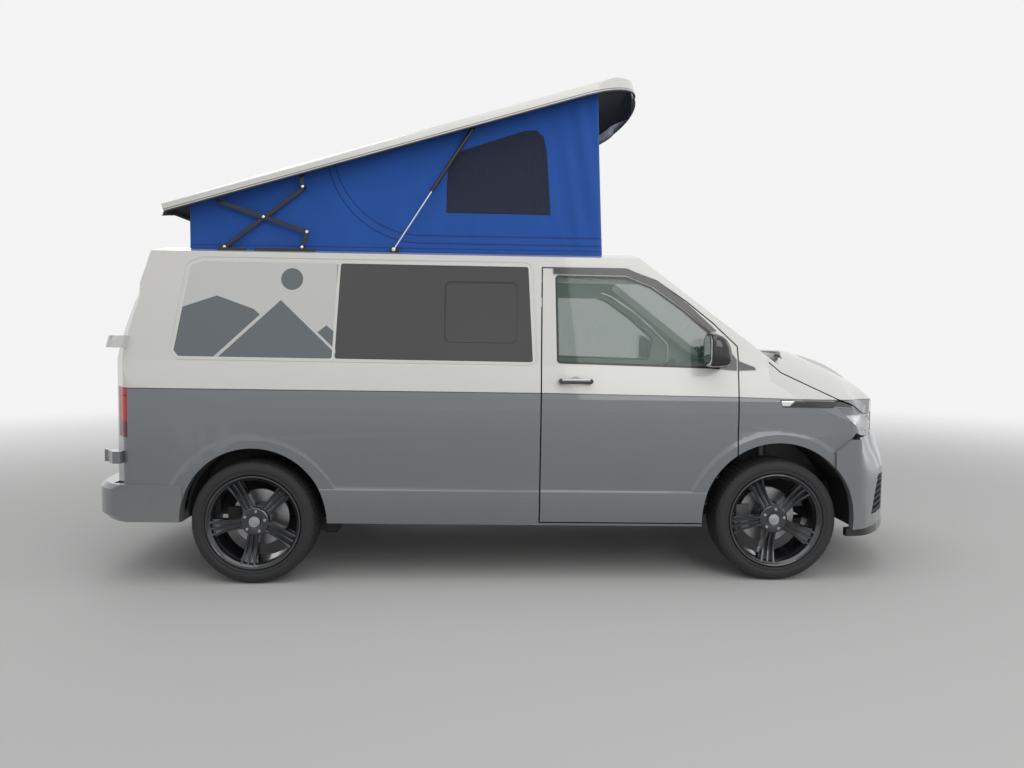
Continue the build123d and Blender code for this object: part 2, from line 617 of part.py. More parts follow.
bonnet_ear = bonnet_ear + pin(*bonnet_axis, bonnet_arm_y, bonnet_arm_y + 22, 5)
floor_pan = floor + rear_sill + wells.part + firewall - rear_opening
floor_pan = floor_pan + front_post + bonnet_ear
for z in cab_hinge_z:
    floor_pan = floor_pan + hinge_arm(z)
keep("floor_pan", floor_pan)
liner_r = front_arch_r + 5
with BuildPart() as liner:
    with BuildSketch(Plane.XZ):
        with Locations((front_axle_x, wheel_centre(front_axle_x))):
            Circle(liner_r)
            Circle(liner_r - 4, mode=Mode.SUBTRACT)
    extrude(amount=1200, both=True)
liner_reach = both_sides(block(front_axle_x - 372, front_axle_x + 372, 560, body_half - 64, 500, 900))
liner_hanger = both_sides(block(front_axle_x - 62, front_axle_x - 52, 600, bulk_half - 10, 824, shelf_z - 0.3))
keep("arch_liners", (liner.part & liner_reach) + liner_hanger)

rail_y = 415
subframe_x = (front_axle_x, front_axle_x + 530)
subframe_top = 253
subframe_rail_z = 240
rear_end_x = tail_x + 156
rail_line = [(rear_end_x, 269)] + ahead((-410, 269), (-280, 430), (920, 430), (920, 520), (-315, 520), (-450, 331)) + [
    (rear_end_x, 331)]
rails = prism(rail_line) & both_sides(block(-4000, 4000, rail_y - 30, rail_y + 30, 200, 600))
front_limit = block(-4000, front_axle_x + 400, -1000, 1000, 0, 900) + bumper_form(wall + 0.3)
trailing_x = rear_axle_x + 380
with BuildPart() as underframe:
    add(rails & front_limit)
    with Locations(*[(x, 0, 300) for x in (rear_end_x + 100, rear_axle_x + 900, front_axle_x - 1340)]):
        Box(60, 2 * rail_y + 100, 62)
    with Locations(((rear_axle_x + front_axle_x) / 2 - 300, 0, 292)):
        Box(600, 2 * rail_y + 100, 20)
    with Locations(*[(trailing_x, y, 262) for y in (-rail_y, rail_y)]):
        Box(40, 60, 22)
    for x in subframe_x:
        post_low = subframe_top + 0.6 + x * sin(radians(body_rake))
        with Locations(*[(x, y, (post_low + 431) / 2) for y in (-rail_y, rail_y)]):
            Box(50, 50, 431 - post_low)
    with Locations(Location((rear_end_x - 30, -rail_y, 300), (0, 90, 0))):
        Cylinder(24, tow_eye_length)
        Cylinder(tow_eye_r, tow_eye_length, mode=Mode.SUBTRACT)
keep("underframe", underframe.part)
engine_x = front_axle_x + 350
with BuildPart() as engine_block:
    add(block(engine_x - 210, engine_x + 210, -340, 340, 330, 950))
    for x in (engine_x - 160, engine_x + 160):
        foot_z = subframe_rail_z + 0.7 + x * sin(radians(body_rake))
        with Locations(*[(x, y, (foot_z + 331) / 2) for y in (-rail_y + 90, rail_y - 90)]):
            Cylinder(26, 331 - foot_z)
keep("engine_block", engine_block.part)

# Inside
wheel_hub = (door_front_x - 352, -400, 1130)
column_way = (-0.8, 0, 0.6)
seat_base_z = sill_z + wall + 0.3
with BuildPart() as dashboard:
    with BuildSketch(Plane.XZ):
        with BuildLine():
            Polyline(*ahead((-440, 900), (-490, 1120), (-410, 1215), (-100, 1245), (-80.3, 900)), close=True)
        make_face()
        fillet(vertices().sort_by(Axis.X)[:3], 22)
    extrude(amount=bulk_half - 5, both=True)
    with BuildSketch(Plane(origin=Vector(*wheel_hub) - Vector(*column_way) * 10.5, z_dir=-Vector(*column_way))):
        Circle(24)
    extrude(amount=170)
keep("dashboard", dashboard.part)
seat_x = b_pillar_x + 212
seat_parts = (
    ([(0, seat_base_z), (0, 780), (440, 740), (440, seat_base_z)], 200),
    ([(-60, 775), (-40, 900), (480, 900), (520, 850), (440, 735)], 245),
    ([(-110, 850), (-250, 1400), (-150, 1430), (0, 905)], 235),
    ([(-236, 1400), (-245, 1590), (-150, 1600), (-140, 1420)], 130),
)
seat = None
for points, half_width in seat_parts:
    piece = prism([(seat_x + x, z) for x, z in points], reach=half_width, radius=18 if half_width > 200 else 0)
    seat = piece if seat is None else seat + piece
keep("front_seats", seat.moved(Location((0, 400, 0))) + seat.moved(Location((0, -400, 0))))
bench_line = behind((500, seat_base_z), (500, 790), (540, 850), (20, 860), (-120, 1400), (-240, 1380), (-150, 700),
                    (-150, seat_base_z))
keep("rear_bench", prism(bench_line, reach=380).moved(Location((0, 200, 0))))
cabinet = block(rear_axle_x + 520, b_pillar_x - 118, -side_inner_y + 25, -440, seat_base_z, 1240) + block(
    tail_x + 156, rear_axle_x - 200, -side_inner_y + 25, side_inner_y - 25, seat_base_z, 900)
cabinet = cabinet - both_sides(block(rear_axle_x - 600, rear_axle_x + 600, well_y - 25, 1000, 300, 905))
keep("camper_units", cabinet)

# Wheels: tyre, rim with five spokes of three ribs, and the brake disc behind
with BuildPart() as tyre:
    with BuildSketch(Plane.YZ):
        with BuildLine():
            Polyline((-100, rim_radius + 0.3), (-122, rim_radius + 12), (-122, rim_radius + 22), (-tyre_width / 2, 308),
                     (-118, 338), (-98, 349), (-50, tyre_radius), (50, tyre_radius), (98, 349), (118, 338),
                     (tyre_width / 2, 308), (122, rim_radius + 22), (122, rim_radius + 12), (100, rim_radius + 0.3),
                     close=True)
        make_face()
    revolve(axis=Axis.Y)
spoke_count = 5
bolt_circle_r = 60
hub_face_y = 84
with BuildPart() as spoke:
    with BuildSketch(Plane.YZ):
        with BuildLine():
            Polyline((28, 70), (54, 70), (46, 150), (74, 243), (44, 243), (24, 150), close=True)
        make_face()
    extrude(amount=31, both=True)
    for across, lean in ((-22, -3), (0, 0), (22, 3)):
        along = Vector(cos(radians(lean)), 0, -sin(radians(lean)))
        with BuildSketch(Plane((across, 0, 0), x_dir=(0, 1, 0), z_dir=along)):
            with BuildLine():
                Polyline((40, 62), (hub_face_y - 4, 62), (70, 120), (80, 190), (104, 243), (52, 243), (40, 150),
                         close=True)
            make_face()
        extrude(amount=5.5, both=True)
with BuildPart() as rim:
    with BuildSketch(Plane.YZ):
        with BuildLine():
            Polyline((-116, 256), (-116, rim_radius), (-100, rim_radius), (-100, 250), (92, 250), (100, rim_radius),
                     (116, rim_radius), (119, 264), (112, 254), (104, 240), (84, 238), (-100, 238), close=True)
        make_face()
        with BuildLine():
            Polyline((0, 30), (0, 84), (hub_face_y - 16, 84), (hub_face_y, 76), (hub_face_y, 38),
                     (hub_face_y + 4, 33), (hub_face_y + 5, 0), (60, 0), (60, 30), close=True)
        make_face()
    revolve(axis=Axis.Y)
    with BuildSketch(Plane.XZ.offset(-hub_face_y)):
        with PolarLocations(bolt_circle_r, spoke_count, start_angle=90 + 180 / spoke_count):
            Circle(13)
            Circle(8.5, mode=Mode.SUBTRACT)
    extrude(amount=12, mode=Mode.SUBTRACT)
    for turn in range(spoke_count):
        add(spoke.part.rotate(Axis.Y, turn * 360 / spoke_count))
spindle_r = 30
disc_y = -60
with BuildPart() as rotor:
    with Locations(Location((0, disc_y, 0), (90, 0, 0))):
        Cylinder(165, 28)
    with Locations(Location((0, 0, 0), (90, 0, 0))):
        Cylinder(70, 128)
    with Locations(Location((0, disc_y, 0), (90, 0, 0))):
        Cylinder(spindle_r + 0.3, 60, mode=Mode.SUBTRACT)
with BuildPart() as carrier:
    with Locations(Location((0, -115, 0), (90, 0, 0))):
        Cylinder(58, 70)
    with Locations((-148, disc_y, 0)):
        Box(74, 70, 130)
    with Locations((-95, -97, 0)):
        Box(150, 24, 110)
    with Locations(Location((0, disc_y, 0), (90, 0, 0))):
        Cylinder(171, 40, mode=Mode.SUBTRACT)
    with Locations(Location((0, -75, 0), (90, 0, 0))):
        Cylinder(spindle_r, 70)


def place(part, x, y):
    """A wheel-side piece moved to its axle, drawn for the left side and turned round for the right."""
    turned = part if y > 0 else part.mirror(Plane.XZ)
    return turned.moved(Location((x, y, tyre_radius)))


corner_places = (
    ("front_left", front_axle_x, wheel_y), ("front_right", front_axle_x, -wheel_y),
    ("rear_left", rear_axle_x, wheel_y), ("rear_right", rear_axle_x, -wheel_y),
)
rim_whole = rim.part + rotor.part
for corner, x, y in corner_places:
    keep("tyre_" + corner, place(tyre.part, x, y), raked=False)
    keep("rim_" + corner, place(rim_whole, x, y), raked=False)

# Knuckles with their strut legs, the front subframe and the rear axle
leg_y = kingpin_y - wheel_y
with BuildPart() as leg:
    with Locations((0, leg_y, 235)):
        Cylinder(27, 430)
    with Locations((0, leg_y, 0)):
        Box(80, 60, 110)
    with Locations((0, leg_y, -55)):
        Cylinder(12.3, 50, mode=Mode.SUBTRACT)
for side_name, y in (("left", wheel_y), ("right", -wheel_y)):
    keep("knuckle_" + side_name, place(carrier.part + leg.part, front_axle_x, y), raked=False)
subframe_span = subframe_x[1] - subframe_x[0]
with BuildPart() as subframe:
    with Locations(*[(x, 0, 215) for x in subframe_x]):
        Box(110, 2 * rail_y - 70, 50)
    with Locations(*[(sum(subframe_x) / 2, y, 215) for y in (-rail_y + 65, rail_y - 65)]):
        Box(subframe_span + 70, 100, 50)
    for y in (-1, 1):
        with BuildSketch(Plane.XY.offset(216)):
            with Locations(Location((front_axle_x, y * (rail_y + 100), 0), (0, 0, 90))):
                SlotCenterToCenter(2 * (kingpin_y - rail_y - 100), 50)
        extrude(amount=28)
        with Locations((front_axle_x, y * kingpin_y, 275)):
            Cylinder(12, 76)
    with Locations(*[(x, y, 246.5) for x in subframe_x for y in (-rail_y, rail_y)]):
        Box(60, 60, 13)
    with Locations(*[(x, y, 228) for x in subframe_x for y in (-rail_y, rail_y)]):
        Box(60, 90, 26)
keep("front_subframe", subframe.part, raked=False)
beam_y = 640
with BuildPart() as rear_axle:
    with Locations((trailing_x, 0, 243)):
        Box(70, 2 * beam_y, 44)
    with Locations(*[(rear_axle_x + 200, y, 282) for y in (-beam_y, beam_y)]):
        Box(430, 60, 86)
rear_hubs = both_sides(place(carrier.part, rear_axle_x, wheel_y)) + both_sides(
    block(rear_axle_x - 60, rear_axle_x + 60, beam_y - 30, beam_y + 40, tyre_radius - 55, tyre_radius + 30))
keep("rear_axle", rear_axle.part + rear_hubs, raked=False)

# Steering wheel on its column, on the right
ring_r = 186
with BuildPart() as steering:
    with Locations(Plane(origin=wheel_hub, x_dir=(0, 1, 0), z_dir=column_way)):
        Torus(ring_r, 14)
    with BuildSketch(Plane(origin=wheel_hub, x_dir=(0, 1, 0), z_dir=column_way)):
        Circle(65)
        for angle in (0, 180, 270):
            with Locations(Rotation(0, 0, angle) * Pos(120, 0, 0)):
                Rectangle(126, 34)
    extrude(amount=10, both=True)
keep("steering_wheel", steering.part)


# The raised roof, drawn shut on the van and then swung up about its pole
def shell_form(inset):
    """The roof shell's closed form over its rim."""
    low = shell_rim_z - (5 if inset else 0)
    crown_z = shell_rim_z + shell_height
    rear, front, half = shell_rear_x + inset, shell_front_x - inset, shell_half - inset
    with BuildPart() as form:
        with BuildSketch(Plane.XZ):
            with BuildLine():
                Polyline((rear, low), (rear + 34, shell_rim_z + 50 - inset))
                ThreePointArc((rear + 34, shell_rim_z + 50 - inset), (-600, crown_z - inset),
                              (shell_front_x - 120, crown_z - 18 - inset))
                ThreePointArc((shell_front_x - 120, crown_z - 18 - inset), (front - 35, shell_rim_z + 50), (front, low))
                Line((front, low), (rear, low))
            make_face()
        extrude(amount=1000, both=True)
        with BuildSketch(Plane.YZ):
            with BuildLine():
                Polyline((0, low), (half, low), (half - 6, shell_rim_z + 42))
                ThreePointArc((half - 6, shell_rim_z + 42), (shell_half - 60, shell_rim_z + 74 - inset),
                              (shell_half - 150, shell_rim_z + 82 - inset))
                ThreePointArc((shell_half - 150, shell_rim_z + 82 - inset), (300, crown_z + 4 - inset),
                              (0, crown_z + 8 - inset))
                mirror(about=Plane.YZ)
            make_face()
        extrude(amount=4000, both=True, mode=Mode.INTERSECT)
        with BuildSketch(Plane.XY.offset(shell_rim_z - 100)):
            with BuildLine():
                Polyline((rear, 0), (rear, shell_half - 90 - inset), (rear + 50, half), (shell_front_x - 480, half))
                ThreePointArc((shell_front_x - 480, half), (shell_front_x - 180 - inset / 2, shell_half - 100 - inset / 2),
                              (front - 55, 420))
                ThreePointArc((front - 55, 420), (front - 12, 200), (front, 0))
                mirror(about=Plane.XZ)
            make_face()
        extrude(amount=400, mode=Mode.INTERSECT)
    return form.part


pole_axis = Axis((roof_pole[0], 0, roof_pole[1]), (0, 1, 0))


def raised(part):
    """A piece drawn on the shut roof, swung up with it."""
    return part.rotate(pole_axis, -roof_angle)


def raised_point(x, z):
    """A point of the shut roof's side view, swung up with it."""
    angle = radians(roof_angle)
    dx, dz = x - roof_pole[0], z - roof_pole[1]
    return (roof_pole[0] + dx * cos(angle) - dz * sin(angle), roof_pole[1] + dx * sin(angle) + dz * cos(angle))


def bar(start, end, y0, width, thickness, hole_at):
    """A flat link with round ends between two pivots in the side view, on both sides."""
    length = sqrt((end[0] - start[0]) ** 2 + (end[1] - start[1]) ** 2)
    angle = degrees(atan2(end[1] - start[1], end[0] - start[0]))
    with BuildPart() as link:
        with BuildSketch(Plane(origin=(start[0], y0 + thickness, start[1]), x_dir=(1, 0, 0), z_dir=(0, -1, 0))):
            with Locations(Rotation(0, 0, angle) * Pos(length / 2, 0, 0)):
                SlotCenterToCenter(length, width)
            for along in hole_at:
                with Locations(Rotation(0, 0, angle) * Pos(along * length, 0, 0)):
                    Circle(pin_hole_r, mode=Mode.SUBTRACT)
        extrude(amount=thickness)
        mirror(about=Plane.XZ)
    return link.part


# Scissor hinge: pivots in the side view of the level body, and layers counted out from the canvas
pin_r = 6
pin_hole_r = 6.3
arm_width = 22
arm_t = 8
layer_step = 13
layer_a = shell_half - 87
layer_b = layer_a + layer_step
layer_low = layer_b + layer_step
layer_top = layer_low + layer_step
pin_z = 1912
arm_a_foot = (rear_axle_x - 230, pin_z)
arm_a_angle = 37
arm_a_low, arm_a_high = 290, 290
arm_b_angle = 18.1
arm_b_high, arm_b_low = 277, 267
link_foot = (rear_axle_x + 232, pin_z)
top_link_shut_x = rear_axle_x + 279.75
cos_a, sin_a = cos(radians(arm_a_angle)), sin(radians(arm_a_angle))
cos_b, sin_b = cos(radians(arm_b_angle)), sin(radians(arm_b_angle))
centre = (arm_a_foot[0] + arm_a_low * cos_a, pin_z + arm_a_low * sin_a)
arm_a_top = (centre[0] + arm_a_high * cos_a, centre[1] + arm_a_high * sin_a)
arm_b_top = (centre[0] - arm_b_high * cos_b, centre[1] + arm_b_high * sin_b)
arm_b_foot = (centre[0] + arm_b_low * cos_b, centre[1] - arm_b_low * sin_b)
top_link_pin = raised_point(top_link_shut_x, pin_z)
strut_foot = (rear_axle_x + 758, pin_z)
strut_top_shut_x = strut_foot[0] + 551
strut_top = raised_point(strut_top_shut_x, pin_z)
strut_y = shell_half - 65
arm_b_share = arm_b_high / (arm_b_high + arm_b_low)
keep("scissor_arm_long", bar(arm_a_foot, arm_a_top, layer_a, arm_width, arm_t, (0,)) + pin(
    *centre, layer_a + arm_t, layer_b + arm_t + 4, pin_r) + pin(
    *arm_a_top, layer_a + arm_t, layer_b - 3, pin_r))
keep("scissor_arm_cross", bar(arm_b_top, arm_b_foot, layer_b, arm_width, arm_t, (arm_b_share,)))
keep("scissor_link_low", bar(link_foot, arm_b_foot, layer_low, arm_width, arm_t, (0,)) + pin(
    *arm_b_foot, layer_low + arm_t, layer_low + arm_t + 3, pin_r))
keep("scissor_link_top", bar(top_link_pin, arm_a_top, layer_top, arm_width, arm_t, (0,)) + pin(
    *arm_a_top, layer_b + arm_t + 3, layer_top, pin_r))
shell_wall = 14
shell_edge_y = shell_half - shell_wall
roof_shell = shell_form(0) - shell_form(shell_wall) - hull(-8)
roof_shell = roof_shell + pin(top_link_shut_x, pin_z, layer_top - 3, shell_edge_y + 6, pin_r) + pin(
    strut_top_shut_x, pin_z, strut_y - 11, shell_edge_y + 6, pin_r)
keep("roof_shell", raised(roof_shell))
foot_low = pin_z - 52
inner_lug = canvas_half + 2
outer_lug = layer_top + arm_t + 4
feet = both_sides(
    block(arm_a_foot[0] - 32, arm_a_foot[0] + 32, inner_lug, inner_lug + 8, foot_low, pin_z + 12)
    + block(link_foot[0] - 14, link_foot[0] + 14, outer_lug, outer_lug + 8, foot_low, pin_z + 12)
    + block(strut_foot[0] - 28, strut_foot[0] + 28, inner_lug, inner_lug + 8, foot_low, pin_z + 12)
    + block(arm_a_foot[0] - 25, arm_a_foot[0] + 140, outer_lug, outer_lug + 8, foot_low, pin_z - 9)
    + block(link_foot[0] - 274, link_foot[0] + 76, outer_lug, outer_lug + 8, foot_low, pin_z - 9))
feet = feet + pin(*arm_a_foot, inner_lug + 8, layer_a + arm_t + 3, pin_r) + pin(
    *link_foot, layer_low - 3, outer_lug, pin_r) + pin(*strut_foot, inner_lug + 8, inner_lug + 20, pin_r)
keep("scissor_feet", feet - outer)

# Gas struts
strut_way = Vector(strut_top[0] - strut_foot[0], 0, strut_top[1] - strut_foot[1])
strut_open = strut_way.length
strut_shut = strut_top_shut_x - strut_foot[0]
cylinder_length = 430
rod_r, rod_bore_r, cylinder_r = 5, 5.4, 11
rod_overlap = 60
top_point = Vector(strut_top[0], strut_y, strut_top[1])
foot_point = Vector(strut_foot[0], strut_y, strut_foot[1])
way = strut_way.normalized()
with BuildPart() as cylinder:
    with BuildSketch(Plane(origin=top_point - way * 8, z_dir=-way)):
        Circle(cylinder_r)
    extrude(amount=cylinder_length)
    with BuildSketch(Plane(origin=top_point - way * (8 + cylinder_length), z_dir=way)):
        Circle(rod_bore_r)
    extrude(amount=cylinder_length - 20, mode=Mode.SUBTRACT)
    with Locations(Location(top_point, (90, 0, 0))):
        Cylinder(13, 16)
        Cylinder(pin_hole_r, 60, mode=Mode.SUBTRACT)
    mirror(about=Plane.XZ)
with BuildPart() as rod:
    with BuildSketch(Plane(origin=foot_point + way * 4, z_dir=way)):
        Circle(rod_r)
    extrude(amount=strut_open - 12 - cylinder_length + rod_overlap)
    with Locations(Location(foot_point, (90, 0, 0))):
        Cylinder(11, 14)
        Cylinder(pin_hole_r, 60, mode=Mode.SUBTRACT)
    mirror(about=Plane.XZ)
keep("strut_cylinders", cylinder.part)
keep("strut_rods", rod.part)

# Canvas: a thin closed wall between the van's roof and the raised shell
with BuildPart() as canvas:
    for half, inset, low in ((canvas_half, 0, 1850), (canvas_half - canvas_t, canvas_t, 1800)):
        with BuildSketch(Plane.XZ):
            with BuildLine():
                Polyline((canvas_rear_x + inset, low), (canvas_rear_x - 4 + inset, 2300),
                         (canvas_front_x - 62 - inset, 3000), (canvas_front_x - inset, low), close=True)
            make_face()
        extrude(amount=half, both=True, mode=Mode.SUBTRACT if inset else Mode.ADD)
over_rim = block(-4000, 4000, -1400, 1400, shell_rim_z - 2, 3600) - shell_form(shell_wall + 0.3)
canvas_part = canvas.part - raised(over_rim) - outer.moved(Location((0, 0, 0.3)))
keep("roof_canvas", canvas_part)

low_ends = [p.bounding_box() for n, p in pieces if n in ("front_bumper", "splitter", "rear_bumper")]
centre_x = (max(b.max.X for b in low_ends) + min(b.min.X for b in low_ends)) / 2
os.makedirs("parts", exist_ok=True)
for name, part in pieces:
    part = part.moved(Location((-centre_x, 0, 0)))
    part.label = name
    export_step(part, f"parts/{name}.step")
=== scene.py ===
import bmesh
import bpy
import math
from mathutils import Euler, Matrix, Vector, noise
from mathutils.bvhtree import BVHTree


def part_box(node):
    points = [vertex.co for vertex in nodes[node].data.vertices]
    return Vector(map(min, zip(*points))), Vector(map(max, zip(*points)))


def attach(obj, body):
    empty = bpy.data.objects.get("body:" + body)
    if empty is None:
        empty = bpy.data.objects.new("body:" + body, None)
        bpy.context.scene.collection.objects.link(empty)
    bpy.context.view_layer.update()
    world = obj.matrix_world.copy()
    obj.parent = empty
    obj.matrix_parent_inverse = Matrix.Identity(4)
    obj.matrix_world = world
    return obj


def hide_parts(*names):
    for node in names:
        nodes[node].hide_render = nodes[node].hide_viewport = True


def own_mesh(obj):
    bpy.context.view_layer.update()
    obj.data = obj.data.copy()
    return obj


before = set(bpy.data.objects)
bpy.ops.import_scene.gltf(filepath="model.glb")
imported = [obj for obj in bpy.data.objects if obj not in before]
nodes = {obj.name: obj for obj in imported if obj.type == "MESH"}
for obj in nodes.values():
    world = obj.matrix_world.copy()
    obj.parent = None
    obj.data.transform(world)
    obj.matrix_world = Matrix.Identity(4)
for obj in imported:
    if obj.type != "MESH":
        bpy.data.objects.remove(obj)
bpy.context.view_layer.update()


# The studio: a pale floor that runs out into a white surround, and broad soft lamps, seen from a
# person's height at the right-hand side of the vehicle, with its whole side and raised roof in view.
class Shade:
    """A value or colour inside a node tree, so that its maths reads as arithmetic."""

    def __init__(self, owner, socket):
        self.owner, self.socket = owner, socket

    def worked(self, operation, *values):
        return self.owner.node("Math", {"operation": operation}, dict(enumerate(values)))

    def __add__(self, other):
        return self.worked("ADD", self, other)

    def __radd__(self, other):
        return self.worked("ADD", other, self)

    def __sub__(self, other):
        return self.worked("SUBTRACT", self, other)

    def __rsub__(self, other):
        return self.worked("SUBTRACT", other, self)

    def __mul__(self, other):
        return self.worked("MULTIPLY", self, other)

    def __rmul__(self, other):
        return self.worked("MULTIPLY", other, self)

    def __truediv__(self, other):
        return self.worked("DIVIDE", self, other)

    def __abs__(self):
        return self.worked("ABSOLUTE", self)

    def sine(self):
        return self.worked("SINE", self)

    def root(self):
        return self.worked("SQRT", self)

    def fract(self):
        return self.worked("FRACT", self)

    def under(self, limit):
        return self.worked("LESS_THAN", self, limit)

    def least(self, other):
        return self.worked("MINIMUM", self, other)

    def most(self, other):
        return self.worked("MAXIMUM", self, other)

    def over(self, limit, blur=0.001):
        """1 where the value is over a limit, 0 under it, with a soft step between."""
        return self.owner.node("MapRange", {}, {"Value": self - limit, "From Min": -blur, "From Max": blur})

    def within(self, low, high, blur):
        """1 between two limits and 0 outside them, with a soft step at each."""
        return self.over(low, blur) * (high - self).over(0, blur)


class Nodes:
    """A node tree whose nodes are made and joined up in one call each."""

    def __init__(self, tree):
        self.tree = tree

    def fill(self, socket, value):
        if isinstance(value, Shade):
            self.tree.links.new(value.socket, socket)
        elif isinstance(value, tuple) and len(value) == 3 and socket.type == "RGBA":
            socket.default_value = (*value, 1)
        else:
            socket.default_value = value

    def node(self, kind, settings, inputs, output=0):
        made = self.tree.nodes.new(kind if "Node" in kind else "ShaderNode" + kind)
        for key, value in settings.items():
            setattr(made, key, value)
        for key, value in inputs.items():
            self.fill(made.inputs[key], value)
        return Shade(self, made.outputs[output])

    def in_view(self):
        """1 for what the camera sees, straight on, in a mirror or through glass, and 0 for its light."""
        straight, mirrored, through = (self.node("LightPath", {}, {}, ray) for ray in (
            "Is Camera Ray", "Is Glossy Ray", "Is Transmission Ray"))
        return straight.most(mirrored).most(through)


class Finish(Nodes):
    """One surface finish: a Principled material whose nodes are written as expressions."""

    def __init__(self, name, colour, roughness, metallic=0.0, coat=0.0, **steady):
        self.material = bpy.data.materials.new(name)
        self.material.use_nodes = True
        super().__init__(self.material.node_tree)
        self.shader = self.tree.nodes["Principled BSDF"]
        self.set("Base Color", colour)
        self.set("Roughness", roughness)
        self.set("Metallic", metallic)
        self.set("Coat Weight", coat)
        for socket, value in steady.items():
            self.set(socket.replace("_", " ").title().replace("Ior", "IOR"), value)
        self.axes = None

    def set(self, socket, value):
        self.fill(self.shader.inputs[socket], value)

    def where(self):
        return self.node("TexCoord", {}, {}, "Object")

    def place(self):
        """The point's place in the vehicle's frame, in metres."""
        if self.axes is None:
            where = self.where()
            self.axes = [self.node("SeparateXYZ", {}, {0: where}, axis) for axis in range(3)]
        return self.axes

    def mix(self, share, first, second):
        return self.node("Mix", {"data_type": "RGBA"}, {0: share, 6: first, 7: second}, 2)

    def colour(self, share, first, second):
        """Colours the surface from a first colour to a second by a share."""
        self.set("Base Color", self.mix(share, first, second))

    def grain(self, scale, detail=3.0, stretch=(1, 1, 1)):
        """Soft random variation about 0.5, at a number of features to the metre."""
        at = {axis: place * by for axis, (place, by) in enumerate(zip(self.place(), stretch))}
        at = self.node("CombineXYZ", {}, at)
        return self.node("TexNoise", {}, {"Vector": at, "Scale": scale, "Detail": detail})

    def speckle(self, scale, first, second, detail=3.0):
        """Colours the surface between two colours by a soft grain, and gives that grain back."""
        grain = self.grain(scale, detail)
        self.colour(grain, first, second)
        return grain

    def pebbles(self, scale):
        """The small cells of a moulded grain, at a number to the metre."""
        return self.node("TexVoronoi", {}, {"Vector": self.where(), "Scale": scale})

    def relief(self, height, depth):
        """Raises the surface by a height times a depth in metres."""
        self.set("Normal", self.node("Bump", {}, {"Height": height, "Distance": depth, "Strength": 1.0}))


def put_in_scene(name, data):
    thing = bpy.data.objects.new(name, data)
    bpy.context.scene.collection.objects.link(thing)
    return thing


camera = put_in_scene("side_camera", bpy.data.cameras.new("side_camera"))
photo_width, focal_length = 1024, 769
eye = (-0.1186, -5.288, 1.4)
yaw, pitch, roll = math.radians(1.55), math.radians(3.37), math.radians(0.09)
level_way = Vector((math.sin(yaw), math.cos(yaw), 0))
across_way = Vector((math.cos(yaw), -math.sin(yaw), 0))
look_way = level_way * math.cos(pitch) - Vector((0, 0, math.sin(pitch)))
up_way = Vector((0, 0, math.cos(pitch))) + level_way * math.sin(pitch)
right_way = across_way * math.cos(roll) + up_way * math.sin(roll)
up_way = up_way * math.cos(roll) - across_way * math.sin(roll)
camera_turn = Matrix((right_way, up_way, -look_way)).transposed().to_4x4()
camera.matrix_world = Matrix.Translation(eye) @ camera_turn
camera.data.sensor_fit = "HORIZONTAL"
camera.data.sensor_width = 36
camera.data.lens = camera.data.sensor_width * focal_length / photo_width
bpy.context.scene.camera = camera
bpy.context.scene.view_settings.view_transform = "Standard"

pale_level, soft_level = 0.90, 0.42
surround = bpy.data.worlds.new("surround")
bpy.context.scene.world = surround
surround.use_nodes = True
sky = Nodes(surround.node_tree)
background = sky.tree.nodes["Background"]
sky.fill(background.inputs["Color"], (1, 1, 1))
sky.fill(background.inputs["Strength"], sky.node(
    "MapRange", {}, {"Value": sky.in_view(), "To Min": soft_level, "To Max": pale_level}))

floor_reach = 60
floor_mesh = bpy.data.meshes.new("studio_floor")
floor_mesh.from_pydata([(x * floor_reach, y * floor_reach, 0) for x, y in ((-1, -1), (1, -1), (1, 1), (-1, 1))],
                       [], [(0, 1, 2, 3)])
put_in_scene("studio_floor", floor_mesh)
floor_paint = Finish("studio_floor", (0.58, 0.58, 0.575), 0.9)
from_middle = floor_paint.node("VectorMath", {"operation": "LENGTH"}, {0: floor_paint.where()}, "Value")
far_off = floor_paint.node("MapRange", {"interpolation_type": "SMOOTHSTEP"}, {
    "Value": from_middle, "From Min": 3.5, "From Max": 13.0})
floor_glow = floor_paint.node("Emission", {}, {"Strength": pale_level})
run_out = floor_paint.node("MixShader", {}, {
    0: far_off * floor_paint.in_view(), 1: Shade(floor_paint, floor_paint.shader.outputs[0]), 2: floor_glow})
floor_paint.fill(floor_paint.tree.nodes["Material Output"].inputs["Surface"], run_out)
floor_mesh.materials.append(floor_paint.material)

soft_lamps = (
    # name, place, aimed at, size, watts
    ("overhead", (-0.5, -2.5, 6.5), (0, 0, 1.2), 7.0, 150),
    ("camera_side", (3.5, -8.0, 4.5), (0.3, 0, 1.2), 5.0, 170),
    ("far_side", (-4.5, 6.5, 4.5), (0, 0, 1.0), 5.0, 85),
    ("nose", (8.0, -1.0, 3.0), (2.0, 0, 1.0), 4.0, 60),
)
for lamp_name, lamp_place, aim, lamp_size, watts in soft_lamps:
    lamp = put_in_scene(lamp_name, bpy.data.lights.new(lamp_name, "AREA"))
    lamp.data.size = lamp_size
    lamp.data.energy = watts
    lamp.location = lamp_place
    lamp.rotation_euler = (Vector(aim) - Vector(lamp_place)).to_track_quat("-Z", "Y").to_euler()

# Body panels: pressed steel in two colours, off-white over blue-grey, parted by a thin dark line
# that runs level round the waist. Base coat under a clear lacquer, a little dust along the sills.
body_rake = math.radians(0.75)
middle_x = -0.02736
front_axle_x, axle_z = 1.5, 0.3896


def stand(x, y, z):
    """A point of the level body, in metres, set down on its wheels a little nose down."""
    return Vector((x * math.cos(body_rake) + z * math.sin(body_rake) - middle_x, y,
                   z * math.cos(body_rake) - x * math.sin(body_rake)))


def level(finish):
    """The point's place measured in the level body, before it was set down nose down."""
    x, y, z = finish.place()
    x = x + middle_x
    return (x * math.cos(body_rake) - z * math.sin(body_rake), y,
            x * math.sin(body_rake) + z * math.cos(body_rake))


